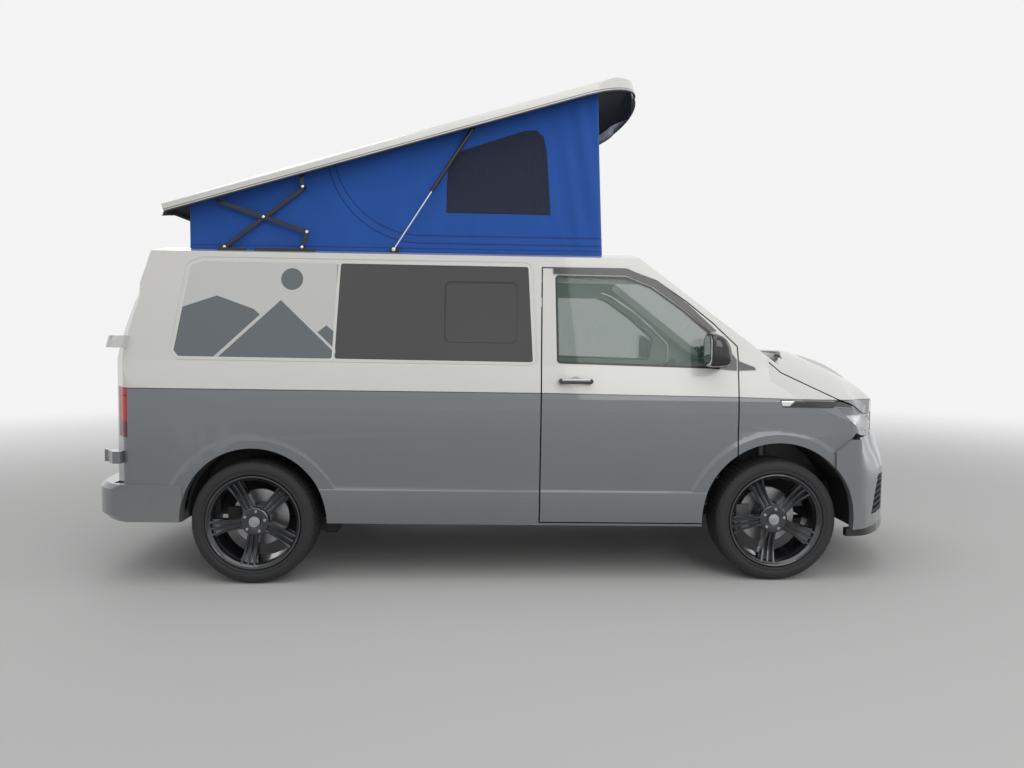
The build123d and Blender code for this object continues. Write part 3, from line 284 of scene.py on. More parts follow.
white_coat, white_tints = (0.70, 0.695, 0.665), ((0.685, 0.68, 0.65), (0.715, 0.71, 0.68))
grey_coat, grey_tints = (0.164, 0.178, 0.192), ((0.156, 0.170, 0.184), (0.172, 0.186, 0.200))
dust_colour, dust_top = (0.24, 0.225, 0.20), 0.62
waist_line, waist_half = (0.025, 0.026, 0.028), 0.0028
waist_z, waist_bends = 1.0925, ((0.128, 0.0081), (1.242, 0.0141))
orange_peel = 260.0


def body_paint(name, colour):
    """Lacquered paint, its level place, and the faint cloud of a sprayed panel."""
    paint = Finish(name, colour, 0.32, coat=0.9, coat_roughness=0.04)
    return paint, level(paint), paint.grain(2.5, 4.0)


def dusted(paint, colour, z):
    """Colours paint, with road dust that thickens towards the sills."""
    dust = (dust_top - z).most(0) * 1.6 * paint.grain(14.0, 6.0)
    paint.colour(dust, colour, dust_colour)
    paint.set("Roughness", 0.28 + dust * 0.5)


def dress(finish, *names):
    """Gives CAD pieces their finish."""
    for name in names:
        nodes[name].data.materials.clear()
        nodes[name].data.materials.append(finish.material)


two_tone, (x, y, z), cloud = body_paint("two_tone_lacquer", white_coat)
waist = z - waist_z
for bend_x, fall in waist_bends:
    waist = waist + (x - bend_x).most(0) * fall
split = two_tone.mix(waist.over(0), two_tone.mix(cloud, *grey_tints), two_tone.mix(cloud, *white_tints))
dusted(two_tone, two_tone.mix(abs(waist).over(waist_half, 0.0006), waist_line, split), z)
two_tone.relief(two_tone.grain(orange_peel, 2.0) * 0.15 + abs(waist).over(0.003, 0.0008), 0.0006)
dress(two_tone, "side_panel_right", "side_panel_left", "sliding_door", "cab_door_right", "cab_door_left",
      "rear_door_right", "rear_door_left", "bonnet", "front_wings")

white_paint, _, cloud = body_paint("white_lacquer", white_coat)
white_paint.colour(cloud, *white_tints)
white_paint.relief(white_paint.grain(orange_peel, 2.0), 0.0001)
dress(white_paint, "roof_panel")

grey_paint, (x, y, z), cloud = body_paint("grey_lacquer", grey_coat)
dusted(grey_paint, grey_paint.mix(cloud, *grey_tints), z)
grey_paint.relief(grey_paint.grain(orange_peel, 2.0), 0.0001)
dress(grey_paint, "front_bumper", "rear_bumper")

# Bonded side windows and windscreen: dark privacy glass with a small sliding pane in the middle
# window, a printed film of grey ridges on the rear quarter window, and green-tinted glass in front.
side_glass = Finish("bonded_glass", (0.03, 0.032, 0.034), 0.05, coat=0.6, coat_roughness=0.02, ior=1.5)
x, y, z = level(side_glass)
in_front = x.over(0.7, 0.01)
in_quarter = 1 - x.over(-1.046, 0.002)
print_blur = 0.0012


def ridge(peak_x, peak_z, slope):
    """1 inside a ridge whose two sides fall away from its peak."""
    return (peak_z - z - abs(x - peak_x) * slope).over(0, print_blur)


far_peak_x, near_peak_x, near_slope = -1.72, -1.36, 0.95
disc_x, disc_z, disc_r = -1.30, 1.72, 0.062
far_ridge = ridge(far_peak_x, 1.73, 0.88)
snow = far_ridge * (z - 1.62 + abs(x - far_peak_x) * 0.35).over(0, print_blur)
disc = (disc_r - ((x - disc_x) * (x - disc_x) + (z - disc_z) * (z - disc_z)).root()).over(0, 0.001)
film = (far_ridge - snow).most(0) * (1 - ridge(near_peak_x, 1.625, near_slope))
low_ridge = ridge(-1.10, 1.46, 0.80) * (1 - ridge(near_peak_x, 1.62, near_slope))
film = film.most(ridge(near_peak_x, 1.60, near_slope)).most(low_ridge).most(disc)
quarter_print = side_glass.mix(film, (0.60, 0.605, 0.59), (0.115, 0.135, 0.155))

pane_x, pane_z, pane_half_x, pane_half_z, pane_round = -0.224, 1.546, 0.205, 0.172, 0.035
reach_x = (abs(x - pane_x) - (pane_half_x - pane_round)).most(0)
reach_z = (abs(z - pane_z) - (pane_half_z - pane_round)).most(0)
pane_edge = (reach_x * reach_x + reach_z * reach_z).root() - pane_round
frame_width = 0.0012 + 0.0035 * ((z - 1.70).over(0, 0.01).most((-0.415 - x).over(0, 0.01)))
pane_seal = (frame_width - abs(pane_edge)).over(0, 0.0006) * (1 - in_front) * (1 - in_quarter)
privacy = side_glass.mix(side_glass.grain(1.5, 1.0), (0.028, 0.028, 0.03), (0.048, 0.047, 0.048))
privacy = side_glass.mix(pane_seal, privacy, (0.004, 0.004, 0.004))
side_glass.colour(in_front, side_glass.mix(in_quarter, privacy, quarter_print), (0.10, 0.13, 0.12))
side_glass.set("Alpha", 1 - in_front * 0.72)
side_glass.set("Roughness", 0.06 + in_quarter * 0.12)
side_glass.relief(1 - pane_seal, 0.003)
dress(side_glass, "fixed_glass")

privacy_glass = Finish("privacy_glass", (0.03, 0.03, 0.032), 0.05, coat=0.6, coat_roughness=0.02)
privacy_glass.speckle(1.5, (0.022, 0.022, 0.024), (0.04, 0.04, 0.042), 1.0)
dress(privacy_glass, "rear_glass_right", "rear_glass_left")

# Cab door windows: green-tinted wind-down glass in a black rubber channel, which follows the
# window's outline 13 mm in from its edge.
cab_glass = Finish("cab_glass", (0.11, 0.15, 0.135), 0.03, coat=0.5, coat_roughness=0.02)
x, y, z = level(cab_glass)
glass_line = ((0.212, 1.262), (0.198, 1.768), (0.605, 1.766), (0.756, 1.708), (0.925, 1.592),
              (1.08, 1.462), (1.13, 1.418), (1.112, 1.244))
inside = None
for (x0, z0), (x1, z1) in zip(glass_line, glass_line[1:] + glass_line[:1]):
    length = math.hypot(x1 - x0, z1 - z0)
    from_edge = (x - x0) * ((z1 - z0) / length) - (z - z0) * ((x1 - x0) / length)
    inside = from_edge if inside is None else inside.least(from_edge)
rubber = 1 - inside.over(0.013, 0.0008)
cab_glass.colour(rubber, (0.095, 0.175, 0.14), (0.008, 0.008, 0.009))
cab_glass.set("Alpha", 0.34 + rubber * 0.66)
cab_glass.set("Roughness", 0.03 + rubber * 0.5)
dress(cab_glass, "cab_glass_right", "cab_glass_left")

# Black trim: gloss mouldings for mirrors, wind deflectors, side strips and the lip under the bumper, and
# grained plastic for the scuttle, wipers and grilles. The door handles have a bright line along their tops.
gloss_black = Finish("gloss_black_moulding", (0.011, 0.011, 0.012), 0.12, coat=0.5, coat_roughness=0.03)
swirl = gloss_black.speckle(90.0, (0.009, 0.009, 0.010), (0.014, 0.014, 0.015), 5.0)
gloss_black.set("Roughness", 0.08 + swirl * 0.12)
dress(gloss_black, "mirror_right", "mirror_left", "splitter")

side_trim = Finish("door_trim_moulding", (0.015, 0.015, 0.016), 0.18, coat=0.4, coat_roughness=0.05)
x, y, z = level(side_trim)
handle_x, handle_half, handle_top, line_half, line_foot = 0.318, 0.106, 1.19, 0.080, 1.1665
from_handle = abs(x - handle_x)
handle_bar = (handle_half - from_handle).over(0, 0.002) * (handle_top - z).over(0, 0.002)
bright_line = handle_bar * z.over(line_foot, 0.0015) * from_handle.under(line_half)
smoke = side_trim.mix(side_trim.grain(60.0), (0.020, 0.020, 0.022), (0.030, 0.030, 0.032))
side_trim.colour(bright_line, smoke, (0.42, 0.43, 0.44))
side_trim.set("Metallic", bright_line * 0.85)
dress(side_trim, "door_trim_right", "door_trim_left")

strip_black, strip_blur = (0.012, 0.012, 0.013), 0.0008
strip_trim = Finish("side_strip_moulding", strip_black, 0.2, coat=0.4, coat_roughness=0.05)
x, y, z = level(strip_trim)
bright_end = z.within(1.0375, 1.0665, strip_blur) * x.over(1.500, strip_blur)
bright_end = bright_end * (1.560 - x - (1.05 - z)).over(0, strip_blur)
strip_trim.colour(bright_end, strip_black, (0.62, 0.63, 0.64))
strip_trim.set("Metallic", bright_end * 0.9)
strip_trim.relief(bright_end, 0.0012)
dress(strip_trim, "black_trims")

grained_plastic = Finish("grained_plastic", (0.018, 0.018, 0.019), 0.6)
grained_plastic.speckle(40.0, (0.015, 0.015, 0.016), (0.024, 0.024, 0.025))
grained_plastic.relief(grained_plastic.pebbles(700.0), 0.0003)
dress(grained_plastic, "scuttle", "front_grilles", "arch_liners")

# Door mirrors: a rounded gloss housing that swells forward from its open rear, on a short flat arm,
# with a slightly domed silvered plate let into the rear.
both_sides = (("right", -1), ("left", 1))


def add_piece(name, mesh, finish, body, smooth=35, stands_for=None):
    """A finished piece in the scene, riding with its body, and standing for a CAD node if it says."""
    mesh.materials.clear()
    mesh.materials.append(finish.material)
    if smooth:
        mesh.shade_smooth()
        mesh.set_sharp_from_angle(angle=math.radians(smooth))
    piece = put_in_scene(name, mesh)
    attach(piece, body)
    if stands_for:
        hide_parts(stands_for)
    return piece


def mesh_of(form, name):
    mesh = bpy.data.meshes.new(name)
    form.to_mesh(mesh)
    form.free()
    return mesh


def joined(form, rows):
    """Faces from each row of corners to the next, each row going round and meeting its own start."""
    for low, high in zip(rows, rows[1:]):
        for i in range(len(low)):
            form.faces.new((low[i - 1], low[i], high[i], high[i - 1]))


def lofted(name, bars, matrix=None):
    """A mesh of closed bars, each through its own rows of points, set in their place."""
    form = bmesh.new()
    for bar in bars:
        rows = [[form.verts.new(point) for point in row] for row in bar]
        joined(form, rows)
        form.faces.new(rows[0])
        form.faces.new(rows[-1])
    if matrix is not None:
        bmesh.ops.transform(form, matrix=matrix, verts=form.verts)
    bmesh.ops.recalc_face_normals(form, faces=form.faces)
    return mesh_of(form, name)


def around(steps, first=0.0, last=2 * math.pi):
    """The cosine and sine of each of a number of equal turns."""
    for step in range(steps):
        angle = first + (last - first) * step / steps
        yield math.cos(angle), math.sin(angle)


def rounded_plate(name, width, height, corner, thickness, matrix, dome=0.0):
    """A plate with round corners, its face towards +Z and domed, then turned to its place."""
    steps = 6
    ring = []
    for cx, cy, start in ((1, 1, 0), (-1, 1, 90), (-1, -1, 180), (1, -1, 270)):
        for step in range(steps + 1):
            angle = math.radians(start + 90 * step / steps)
            ring.append((cx * (width / 2 - corner) + corner * math.cos(angle),
                         cy * (height / 2 - corner) + corner * math.sin(angle)))
    levels = ((1.0, 0.0), (1.0, thickness * 0.7), (0.985, thickness), (0.7, thickness + dome * 0.5),
              (0.35, thickness + dome * 0.88))
    return lofted(name, [[[(x * share, y * share, z) for x, y in ring] for share, z in levels]], matrix)


def facing(ahead, left, up, place):
    """A turn that takes a plate's own three directions to those given, and its middle to a place."""
    return Matrix.Translation(place) @ Matrix((ahead, left, up)).transposed().to_4x4()


mirror_glass = Finish("mirror_glass", (0.75, 0.77, 0.78), 0.03, metallic=1.0)
mirror_glass.set("Roughness", 0.02 + mirror_glass.grain(8.0) * 0.03)
mirror_half_width, mirror_half_height, mirror_square = 0.101, 0.094, 3.4
mirror_rows = (
    # ahead of the glass, width, height, down
    (0.000, 0.93, 0.93, 0.000), (0.004, 0.98, 0.98, 0.000), (0.020, 1.00, 1.00, 0.000),
    (0.045, 0.985, 0.975, 0.002), (0.070, 0.94, 0.90, 0.007), (0.090, 0.87, 0.79, 0.015),
    (0.106, 0.75, 0.64, 0.025), (0.116, 0.58, 0.46, 0.034), (0.1205, 0.36, 0.26, 0.041))
for side_name, side in both_sides:
    rear_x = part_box("mirror_" + side_name)[0].x
    door = "cab_door_" + side_name
    middle = stand(1.042, side * 1.042, 1.352)
    rows = []
    for ahead, wide, tall, down in mirror_rows:
        row = []
        for c, s in around(40):
            bulge = (abs(c) ** mirror_square + abs(s) ** mirror_square) ** (-1 / mirror_square)
            row.append((rear_x + 0.001 + ahead, middle.y + mirror_half_width * wide * c * bulge,
                        middle.z + mirror_half_height * tall * s * bulge - down))
        rows.append(row)
    add_piece("mirror_housing_" + side_name, lofted("mirror_housing", [rows]), gloss_black, door,
              50, "mirror_" + side_name)
    arm = rounded_plate("mirror_arm", 0.106, 0.033, 0.0160, 0.062, facing(
        (1, 0, 0), (0, 0, 1), (0, -side, 0), stand(1.112, side * 1.010, 1.272)))
    add_piece("mirror_arm_" + side_name, arm, gloss_black, door, 50)
    plate = rounded_plate("mirror_glass", 0.158, 0.168, 0.045, 0.0035, facing(
        (0, 1, 0), (0, 0, -1), (-1, 0, 0), (rear_x + 0.0012, middle.y, middle.z)), 0.002)
    add_piece("mirror_glass_" + side_name, plate, mirror_glass, door, 50)

# Number plates: plain pale plates with eased edges and nothing on them, one fixed flat to the front
# bumper and one in the recess of the right-hand rear door.
plate_width, plate_height, plate_corner = 0.52, 0.111, 0.012
plate_face = Finish("blank_plate", (0.72, 0.72, 0.70), 0.35)
plate_face.speckle(30.0, (0.70, 0.70, 0.68), (0.76, 0.76, 0.74))
front_place = (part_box("front_bumper")[1].x - 0.020, 0, stand(2.4, 0, 0.715).z)
for plate_name, out, thickness, place, body in (
        ("front_plate", 1, 0.006, front_place, "root"),
        ("rear_plate", -1, 0.005, stand(-2.3655, -0.38, 0.935), "rear_door_right")):
    plate = rounded_plate(plate_name, plate_width, plate_height, plate_corner, thickness,
                          facing((0, out, 0), (0, 0, 1), (out, 0, 0), place))
    add_piece(plate_name, plate, plate_face, body, 50)

# Headlamps: a clear moulded cover over bright metallised bowls with a dark upper blade. The bowls'
# reflectors are fluted across.
cover_clear = (0.75, 0.78, 0.80)
lamp_cover = Finish("lamp_cover", cover_clear, 0.03, coat=0.8, coat_roughness=0.02)
x, y, z = level(lamp_cover)
blade = (z - (1.034 - (x - 1.81).most(0) * 0.075)).over(0, 0.004)
lamp_cover.colour(blade, cover_clear, (0.012, 0.012, 0.013))
lamp_cover.set("Alpha", 0.16 + blade * 0.80)
dress(lamp_cover, "headlamps")
lamp_bowl = Finish("lamp_bowl", (0.60, 0.61, 0.62), 0.18, metallic=0.9)
x, y, z = level(lamp_bowl)
lamp_bowl.colour((z - 0.985).over(0, 0.006), (0.62, 0.63, 0.65), (0.02, 0.02, 0.022))
lamp_bowl.relief((y * 420.0).sine(), 0.0008)
dress(lamp_bowl, "lamp_bodies")

# Tail lamps: tall red mouldings with fine ribs, darker below, along a thin line near the top and
# round the corner where the lens turns on to the tail.
tail_lamp = Finish("tail_lamp", (0.45, 0.006, 0.010), 0.30, coat=0.15, coat_roughness=0.10)
x, y, z = level(tail_lamp)
lower_end = (0.905 - z).over(0, 0.004)
thin_line = z.within(1.045, 1.055, 0.003)
tail_lamp.colour(lower_end.most(thin_line).most((-2.268 - x).over(0, 0.004) * 0.55),
                 (0.60, 0.006, 0.012), (0.13, 0.004, 0.006))
tail_lamp.relief((z * 900.0).sine(), 0.0006)
dress(tail_lamp, "tail_lamps")


# The body's corners: skins over the nose and the upper tail, drawn in a little where the real body is
# rounder in plan at the nose and leans further forward over its rear corners, and the dark splash
# guards that close the front arches ahead of and behind the wheels.
def part_way(value, low, high):
    return min(1, max(0, (value - low) / (high - low)))


def ease(value, low, high):
    """0 under a low value, 1 over a high one, and a smooth step between."""
    share = part_way(value, low, high)
    return share * share * (3 - 2 * share)


def drawn_in(x, y, z, tuck):
    """How far ahead a point of the level body moves, in metres."""
    nose_depth = 0.072 + 0.038 * ease(z, 0.60, 0.86)
    nose = nose_depth * ease(x, 1.90, 2.22) * min(1.15, (abs(y) / 0.70) ** 3)
    lip = tuck * ease(z, 0.66, 0.85) * ease(x, 1.98, 2.20)
    tail = 0.12 * part_way(z, 1.25, 1.62) ** 1.25 * (1 - ease(x, -2.245, -1.985))
    hinge = 0.07 * ease(abs(y), 0.872, 0.95) * (1 - ease(x, -2.30, -2.25))
    return tail + hinge - nose - lip


def merged_copy(node_name):
    """A CAD node's triangles as one merged form."""
    form = bmesh.new()
    form.from_mesh(nodes[node_name].data)
    bmesh.ops.remove_doubles(form, verts=form.verts, dist=2e-5)
    return form


def modified(mesh, kind, settings, inputs=()):
    """The plain mesh that one modifier makes of a mesh."""
    blank = put_in_scene(mesh.name, mesh)
    modifier = blank.modifiers.new(mesh.name, kind)
    for key, value in settings.items():
        setattr(modifier, key, value)
    for identifier, value in inputs:
        modifier[identifier] = value
    bpy.context.view_layer.update()
    plain = bpy.data.meshes.new_from_object(blank.evaluated_get(bpy.context.evaluated_depsgraph_get()))
    bpy.data.objects.remove(blank)
    return plain


across_nose = (0.38, 0.5, 0.6, 0.7, 0.8)
nose_cuts = ((0, (1.95, 2.0, 2.05, 2.1, 2.15, 2.2, 2.26)),
             (1, [-y for y in reversed(across_nose)] + list(across_nose)), (2, (0.6, 0.66, 0.72, 0.78)))
tail_cuts = ((0, (-2.24, -2.18, -2.12, -2.05, -1.99)), (2, (1.25, 1.31, 1.37, 1.43, 1.49, 1.55, 1.62, 1.75)))
bumper_tuck = 0.045
skins = (
    # node, body, finish, slot, cuts
    ("front_bumper", "root", grey_paint, "grey_paint", nose_cuts),
    ("front_grilles", "root", grained_plastic, "black_plastic", nose_cuts),
    ("splitter", "root", gloss_black, "gloss_black", nose_cuts),
    ("headlamps", "root", lamp_cover, "lamp_lens", nose_cuts),
    ("lamp_bodies", "root", lamp_bowl, "lamp_bowl", nose_cuts),
    ("bonnet", "bonnet", two_tone, "two_tone_paint", nose_cuts),
    ("front_wings", "root", two_tone, "two_tone_paint", nose_cuts),
    ("side_panel_right", "root", two_tone, "two_tone_paint", tail_cuts),
    ("side_panel_left", "root", two_tone, "two_tone_paint", tail_cuts),
    ("rear_door_right", "rear_door_right", two_tone, "two_tone_paint", tail_cuts),
    ("rear_door_left", "rear_door_left", two_tone, "two_tone_paint", tail_cuts),
    ("rear_glass_right", "rear_door_right", privacy_glass, "tinted_glass", tail_cuts),
    ("rear_glass_left", "rear_door_left", privacy_glass, "tinted_glass", tail_cuts),
    ("roof_panel", "root", white_paint, "white_paint", tail_cuts),
)
level_origin = stand(0, 0, 0)
level_axes = [stand(*axis) - level_origin for axis in ((1, 0, 0), (0, 1, 0), (0, 0, 1))]
level_ahead, _, level_up = level_axes
for node_name, body, finish, paint_slot, cuts in skins:
    tuck = bumper_tuck if node_name == "front_bumper" else 0.0
    form = merged_copy(node_name)
    for axis, places in cuts:
        for at in places:
            bmesh.ops.bisect_plane(form, geom=form.verts[:] + form.edges[:] + form.faces[:], dist=1e-5,
                                   plane_co=level_origin + level_axes[axis] * at, plane_no=level_axes[axis])
    for vert in form.verts:
        x, y, z = ((vert.co - level_origin).dot(axis) for axis in level_axes)
        vert.co += level_ahead * drawn_in(x, y, z, tuck)
    skin = mesh_of(form, node_name + "_skin")
    skin.shade_smooth()
    skin.set_sharp_from_angle(angle=math.radians(15))
    skin = modified(skin, "WEIGHTED_NORMAL", {"keep_sharp": True})
    add_piece(node_name + "_skin", skin, finish, body, 0, node_name)

guard_corners = ((0.462, 0.600), (0.466, 0.600), (0.466, 0.884), (0.462, 0.884))
for side_name, side in both_sides:
    for guard_name, first, last in (("front", -7, 33), ("rear", 147, 180)):
        rows = []
        for step in range(15):
            angle = math.radians(first + (last - first) * step / 14)
            rows.append([stand(front_axle_x + out * math.cos(angle), side * y, axle_z + out * math.sin(angle))
                         for out, y in guard_corners])
        add_piece("splash_guard_" + guard_name + "_" + side_name, lofted("splash_guard", [rows]),
                  grained_plastic, "root", 40)

# Underside: floor, wells and rails in black wax over steel, the engine and carriers in raw castings.
# Both are bolted up from below and show under the sills and through the wheels.
underbody = Finish("underbody_wax", (0.03, 0.03, 0.031), 0.65)
mud = underbody.speckle(9.0, (0.018, 0.018, 0.019), (0.055, 0.05, 0.045), 8.0)
underbody.set("Roughness", 0.5 + mud * 0.4)
underbody.relief(mud, 0.002)
dress(underbody, "floor_pan", "underframe", "front_subframe", "rear_axle")
casting = Finish("casting", (0.16, 0.16, 0.165), 0.5, metallic=0.6)
sand = casting.speckle(120.0, (0.10, 0.10, 0.105), (0.20, 0.20, 0.205), 5.0)
casting.relief(sand, 0.0008)
dress(casting, "engine_block", "knuckle_left", "knuckle_right")

# Inside: a grained dashboard and steering wheel, laminated units with a timber-coloured worktop and
# thin gaps between their doors, and two front seats and a bench in ribbed cloth over foam.
cabin_plastic = Finish("cabin_plastic", (0.035, 0.036, 0.038), 0.55)
hide = cabin_plastic.pebbles(450.0)
cabin_plastic.colour(hide, (0.028, 0.029, 0.031), (0.045, 0.046, 0.048))
cabin_plastic.relief(hide, 0.0004)
dress(cabin_plastic, "dashboard", "steering_wheel")

unit_board = Finish("unit_board", (0.42, 0.44, 0.46), 0.35)
x, y, z = level(unit_board)
laminate = unit_board.mix(unit_board.grain(5.0, 4.0, (1, 1, 14)), (0.36, 0.38, 0.40), (0.46, 0.48, 0.50))
door_gap = 1 - abs((x * 2.4).fract() - 0.5).over(0.008, 0.001)
worktop = (z - 1.215).over(0, 0.001)
board = unit_board.mix(worktop, laminate, (0.20, 0.14, 0.09))
unit_board.colour(door_gap * (1 - worktop), board, (0.03, 0.03, 0.03))
dress(unit_board, "camper_units")

seat_cloth = Finish("seat_cloth", (0.10, 0.105, 0.11), 0.85, sheen_weight=0.25, sheen_roughness=0.5)
x, y, z = seat_cloth.place()
seat_cloth.speckle(24.0, (0.065, 0.068, 0.072), (0.12, 0.125, 0.13), 5.0)
seat_cloth.relief((x * 2600.0).sine() * (y * 2600.0).sine(), 0.0006)
pad_square, pad_cuts, channel_half, channel_depth = 5.0, 16, 0.010, 0.012


def cushion(name, middle, half, lean, channels, node):
    """A crowned, stuffed pad: a rounded block drawn in between its corners, with sewn channels
    across its face, leant about the vehicle's width."""
    form = bmesh.new()
    bmesh.ops.create_cube(form, size=2)
    bmesh.ops.subdivide_edges(form, edges=form.edges, cuts=pad_cuts, use_grid_fill=True)
    turn = Matrix.Rotation(math.radians(lean), 3, "Y")
    for vert in form.verts:
        p = vert.co / sum(abs(along) ** pad_square for along in vert.co) ** (1 / pad_square)
        seam = max([math.exp(-(((p.y - line) * half[1]) / channel_half) ** 2) for line in channels], default=0.0)
        pull = 1 - 0.05 * (abs(p.x) * abs(p.y)) ** 3
        p = Vector((p.x * half[0] * pull, p.y * half[1] * pull, p.z * (half[2] - seam * channel_depth)))
        p.z += 0.004 * noise.noise(p * 9 + middle * 3)
        vert.co = turn @ p + middle
    bmesh.ops.recalc_face_normals(form, faces=form.faces)
    pad = add_piece(name, mesh_of(form, name), seat_cloth, "root", 60, node)


seat_x, body_lean, seat_sewn, bench_sewn = 0.340, 0.75, (-0.55, 0.55), (-0.33, 0.33)
seat_parts = (
    # part, behind or ahead, height, half sizes, lean, channels, fill
    ("seat_base", 0.225, 0.575, (0.215, 0.195, 0.185), 0, (), 0.9),
    ("seat_pad", 0.225, 0.825, (0.275, 0.240, 0.078), -3, seat_sewn, 0.7),
    ("seat_back", -0.125, 1.135, (0.285, 0.230, 0.068), -104, seat_sewn, 0.7),
    ("seat_head", -0.192, 1.505, (0.095, 0.128, 0.048), -94, (), 0.8),
)
for side_name, side in both_sides:
    for part, ahead, height, half, lean, channels, fill in seat_parts:
        cushion(part + "_" + side_name, stand(seat_x + ahead, side * 0.4, height), half, lean + body_lean,
                channels, "front_seats")
bench_parts = (
    ("bench_base", -1.175, 0.585, (0.310, 0.370, 0.195), body_lean, (), 0.9),
    ("bench_pad", -1.225, 0.805, (0.250, 0.375, 0.050), body_lean, bench_sewn, 0.7),
    ("bench_back", -1.595, 1.115, (0.275, 0.375, 0.060), -105, bench_sewn, 0.7),
)
for part, x, z, half, lean, channels, fill in bench_parts:
    cushion(part, stand(x, 0.2, z), half, lean, channels, "rear_bench")

# Wheels: a low-profile tyre with grooved tread, an anthracite five-spoke alloy wheel whose spokes are
# each three ribs, five bolts, a bare cap, and a steel brake disc behind.
rubber_black = Finish("tyre_rubber", (0.022, 0.022, 0.023), 0.75)
scuff = rubber_black.speckle(30.0, (0.014, 0.014, 0.015), (0.034, 0.033, 0.032), 6.0)
rubber_black.set("Roughness", 0.6 + scuff * 0.3)
rubber_black.relief(rubber_black.grain(500.0, 2.0), 0.0003)
alloy = Finish("anthracite_lacquer", (0.045, 0.047, 0.052), 0.28, metallic=0.75, coat=0.7, coat_roughness=0.05)
flake = alloy.speckle(900.0, (0.032, 0.034, 0.038), (0.075, 0.078, 0.085), 2.0)
alloy.set("Roughness", 0.17 + flake * 0.10)
steel = Finish("turned_steel", (0.42, 0.42, 0.43), 0.35, metallic=1.0)
steel.speckle(60.0, (0.30, 0.30, 0.31), (0.50, 0.50, 0.51), 6.0)
steel.set("Roughness", 0.28 + steel.grain(200.0) * 0.2)


def sized(tree, name):
    return Shade(tree, tree.tree.nodes["Group Input"].outputs[name])


round_hub = Nodes(bpy.data.node_groups.new("repeat_round_hub", "GeometryNodeTree"))
for size, kind in (("Piece", "Geometry"), ("Count", "Int"), ("Hub", "Vector"), ("First turn", "Float"),
                   ("Finish", "Material")):
    round_hub.tree.interface.new_socket(size, in_out="INPUT", socket_type="NodeSocket" + kind)
round_hub.tree.interface.new_socket("Piece", in_out="OUTPUT", socket_type="NodeSocketGeometry")
round_hub.tree.nodes.new("NodeGroupInput")
turn_share = round_hub.node("GeometryNodeInputIndex", {}, {}) / sized(round_hub, "Count")
turned = round_hub.node("CombineXYZ", {}, {"Y": turn_share * (2 * math.pi) + sized(round_hub, "First turn")})
places = round_hub.node("GeometryNodeMeshLine", {}, {"Count": sized(round_hub, "Count"), "Offset": (0, 0, 0)})
spread = round_hub.node("GeometryNodeInstanceOnPoints", {}, {
    "Points": places, "Instance": sized(round_hub, "Piece"), "Rotation": turned})
shifted = round_hub.node("GeometryNodeTransform", {}, {"Geometry": spread, "Translation": sized(round_hub, "Hub")})
solid = round_hub.node("GeometryNodeRealizeInstances", {}, {0: shifted})
coated = round_hub.node("GeometryNodeSetMaterial", {}, {"Geometry": solid, "Material": sized(round_hub, "Finish")})
round_hub.fill(round_hub.tree.nodes.new("NodeGroupOutput").inputs[0], coated)


def round_a_hub(mesh, count, hub, first_turn, finish):
    """Copies of a mesh turned about an axle, as one plain mesh."""
    mesh.materials.append(finish.material)
    values = {"Count": count, "Hub": hub, "First turn": first_turn, "Finish": finish.material}
    inputs = [(socket.identifier, values[socket.name]) for socket in round_hub.tree.interface.items_tree
              if socket.in_out == "INPUT" and socket.name in values]
    return modified(mesh, "NODES", {"node_group": round_hub.tree}, inputs)


def turned_piece(name, profile, steps, hub, side, finish, body, smooth=30, stands_for=None):
    """A ring turned about an axle from (across, out) points, its outside towards the given side."""
    form = bmesh.new()
    rings = [[form.verts.new((out * c, across * side, out * s)) for across, out in profile]
             for c, s in around(steps)]
    joined(form, rings + rings[:1])
    bmesh.ops.remove_doubles(form, verts=form.verts, dist=1e-6)
    bmesh.ops.transform(form, matrix=Matrix.Translation(hub), verts=form.verts)
    bmesh.ops.recalc_face_normals(form, faces=form.faces)
    add_piece(name, mesh_of(form, name), finish, body, smooth, stands_for)


tyre_half = [
    (0.060, 0.3465), (0.1045, 0.3445), (0.1130, 0.3405), (0.1195, 0.333), (0.1250, 0.321), (0.1274, 0.309),
    (0.1262, 0.300), (0.1215, 0.2915), (0.1235, 0.288), (0.1222, 0.280), (0.116, 0.2745), (0.100, 0.2715)]
tyre_profile = [(-across, out) for across, out in reversed(tyre_half)] + tyre_half
tread_blocks = (
    # inner edge, outer edge, radius at each, skew
    (-0.013, 0.013, 0.3518, 0.3518, 0.004), (0.020, 0.043, 0.3518, 0.3516, 0.008),
    (-0.043, -0.020, 0.3516, 0.3518, 0.008), (0.051, 0.078, 0.3514, 0.3506, 0.010),
    (-0.078, -0.051, 0.3506, 0.3514, 0.010), (0.085, 0.1105, 0.3502, 0.3455, 0.004),
    (-0.1105, -0.085, 0.3455, 0.3502, 0.004))
tread_count, block_half, block_taper = 72, 0.0135, 0.93
rim_profile = [
    (-0.116, 0.2585), (-0.1172, 0.268), (-0.113, 0.2709), (-0.100, 0.2705), (-0.092, 0.252), (0.088, 0.250),
    (0.099, 0.2700), (0.113, 0.2709), (0.1180, 0.2690), (0.1190, 0.2640), (0.1165, 0.2590), (0.1110, 0.2560),
    (0.1060, 0.2480), (0.096, 0.2415), (0.060, 0.2385), (-0.096, 0.2400), (-0.108, 0.2500)]
rib_lines = ((-0.0245, -3.2, 0.0), (0.0, 0.0, -0.004), (0.0245, 3.2, 0.0))
rib_sections = (
    # out from the axle, top, foot, half width
    (0.050, 0.083, 0.045, 0.0085), (0.085, 0.0815, 0.040, 0.0075), (0.13, 0.0735, 0.030, 0.0065),
    (0.18, 0.0785, 0.028, 0.0065), (0.225, 0.0965, 0.035, 0.0075), (0.249, 0.1085, 0.050, 0.0090))
web_half = 0.030
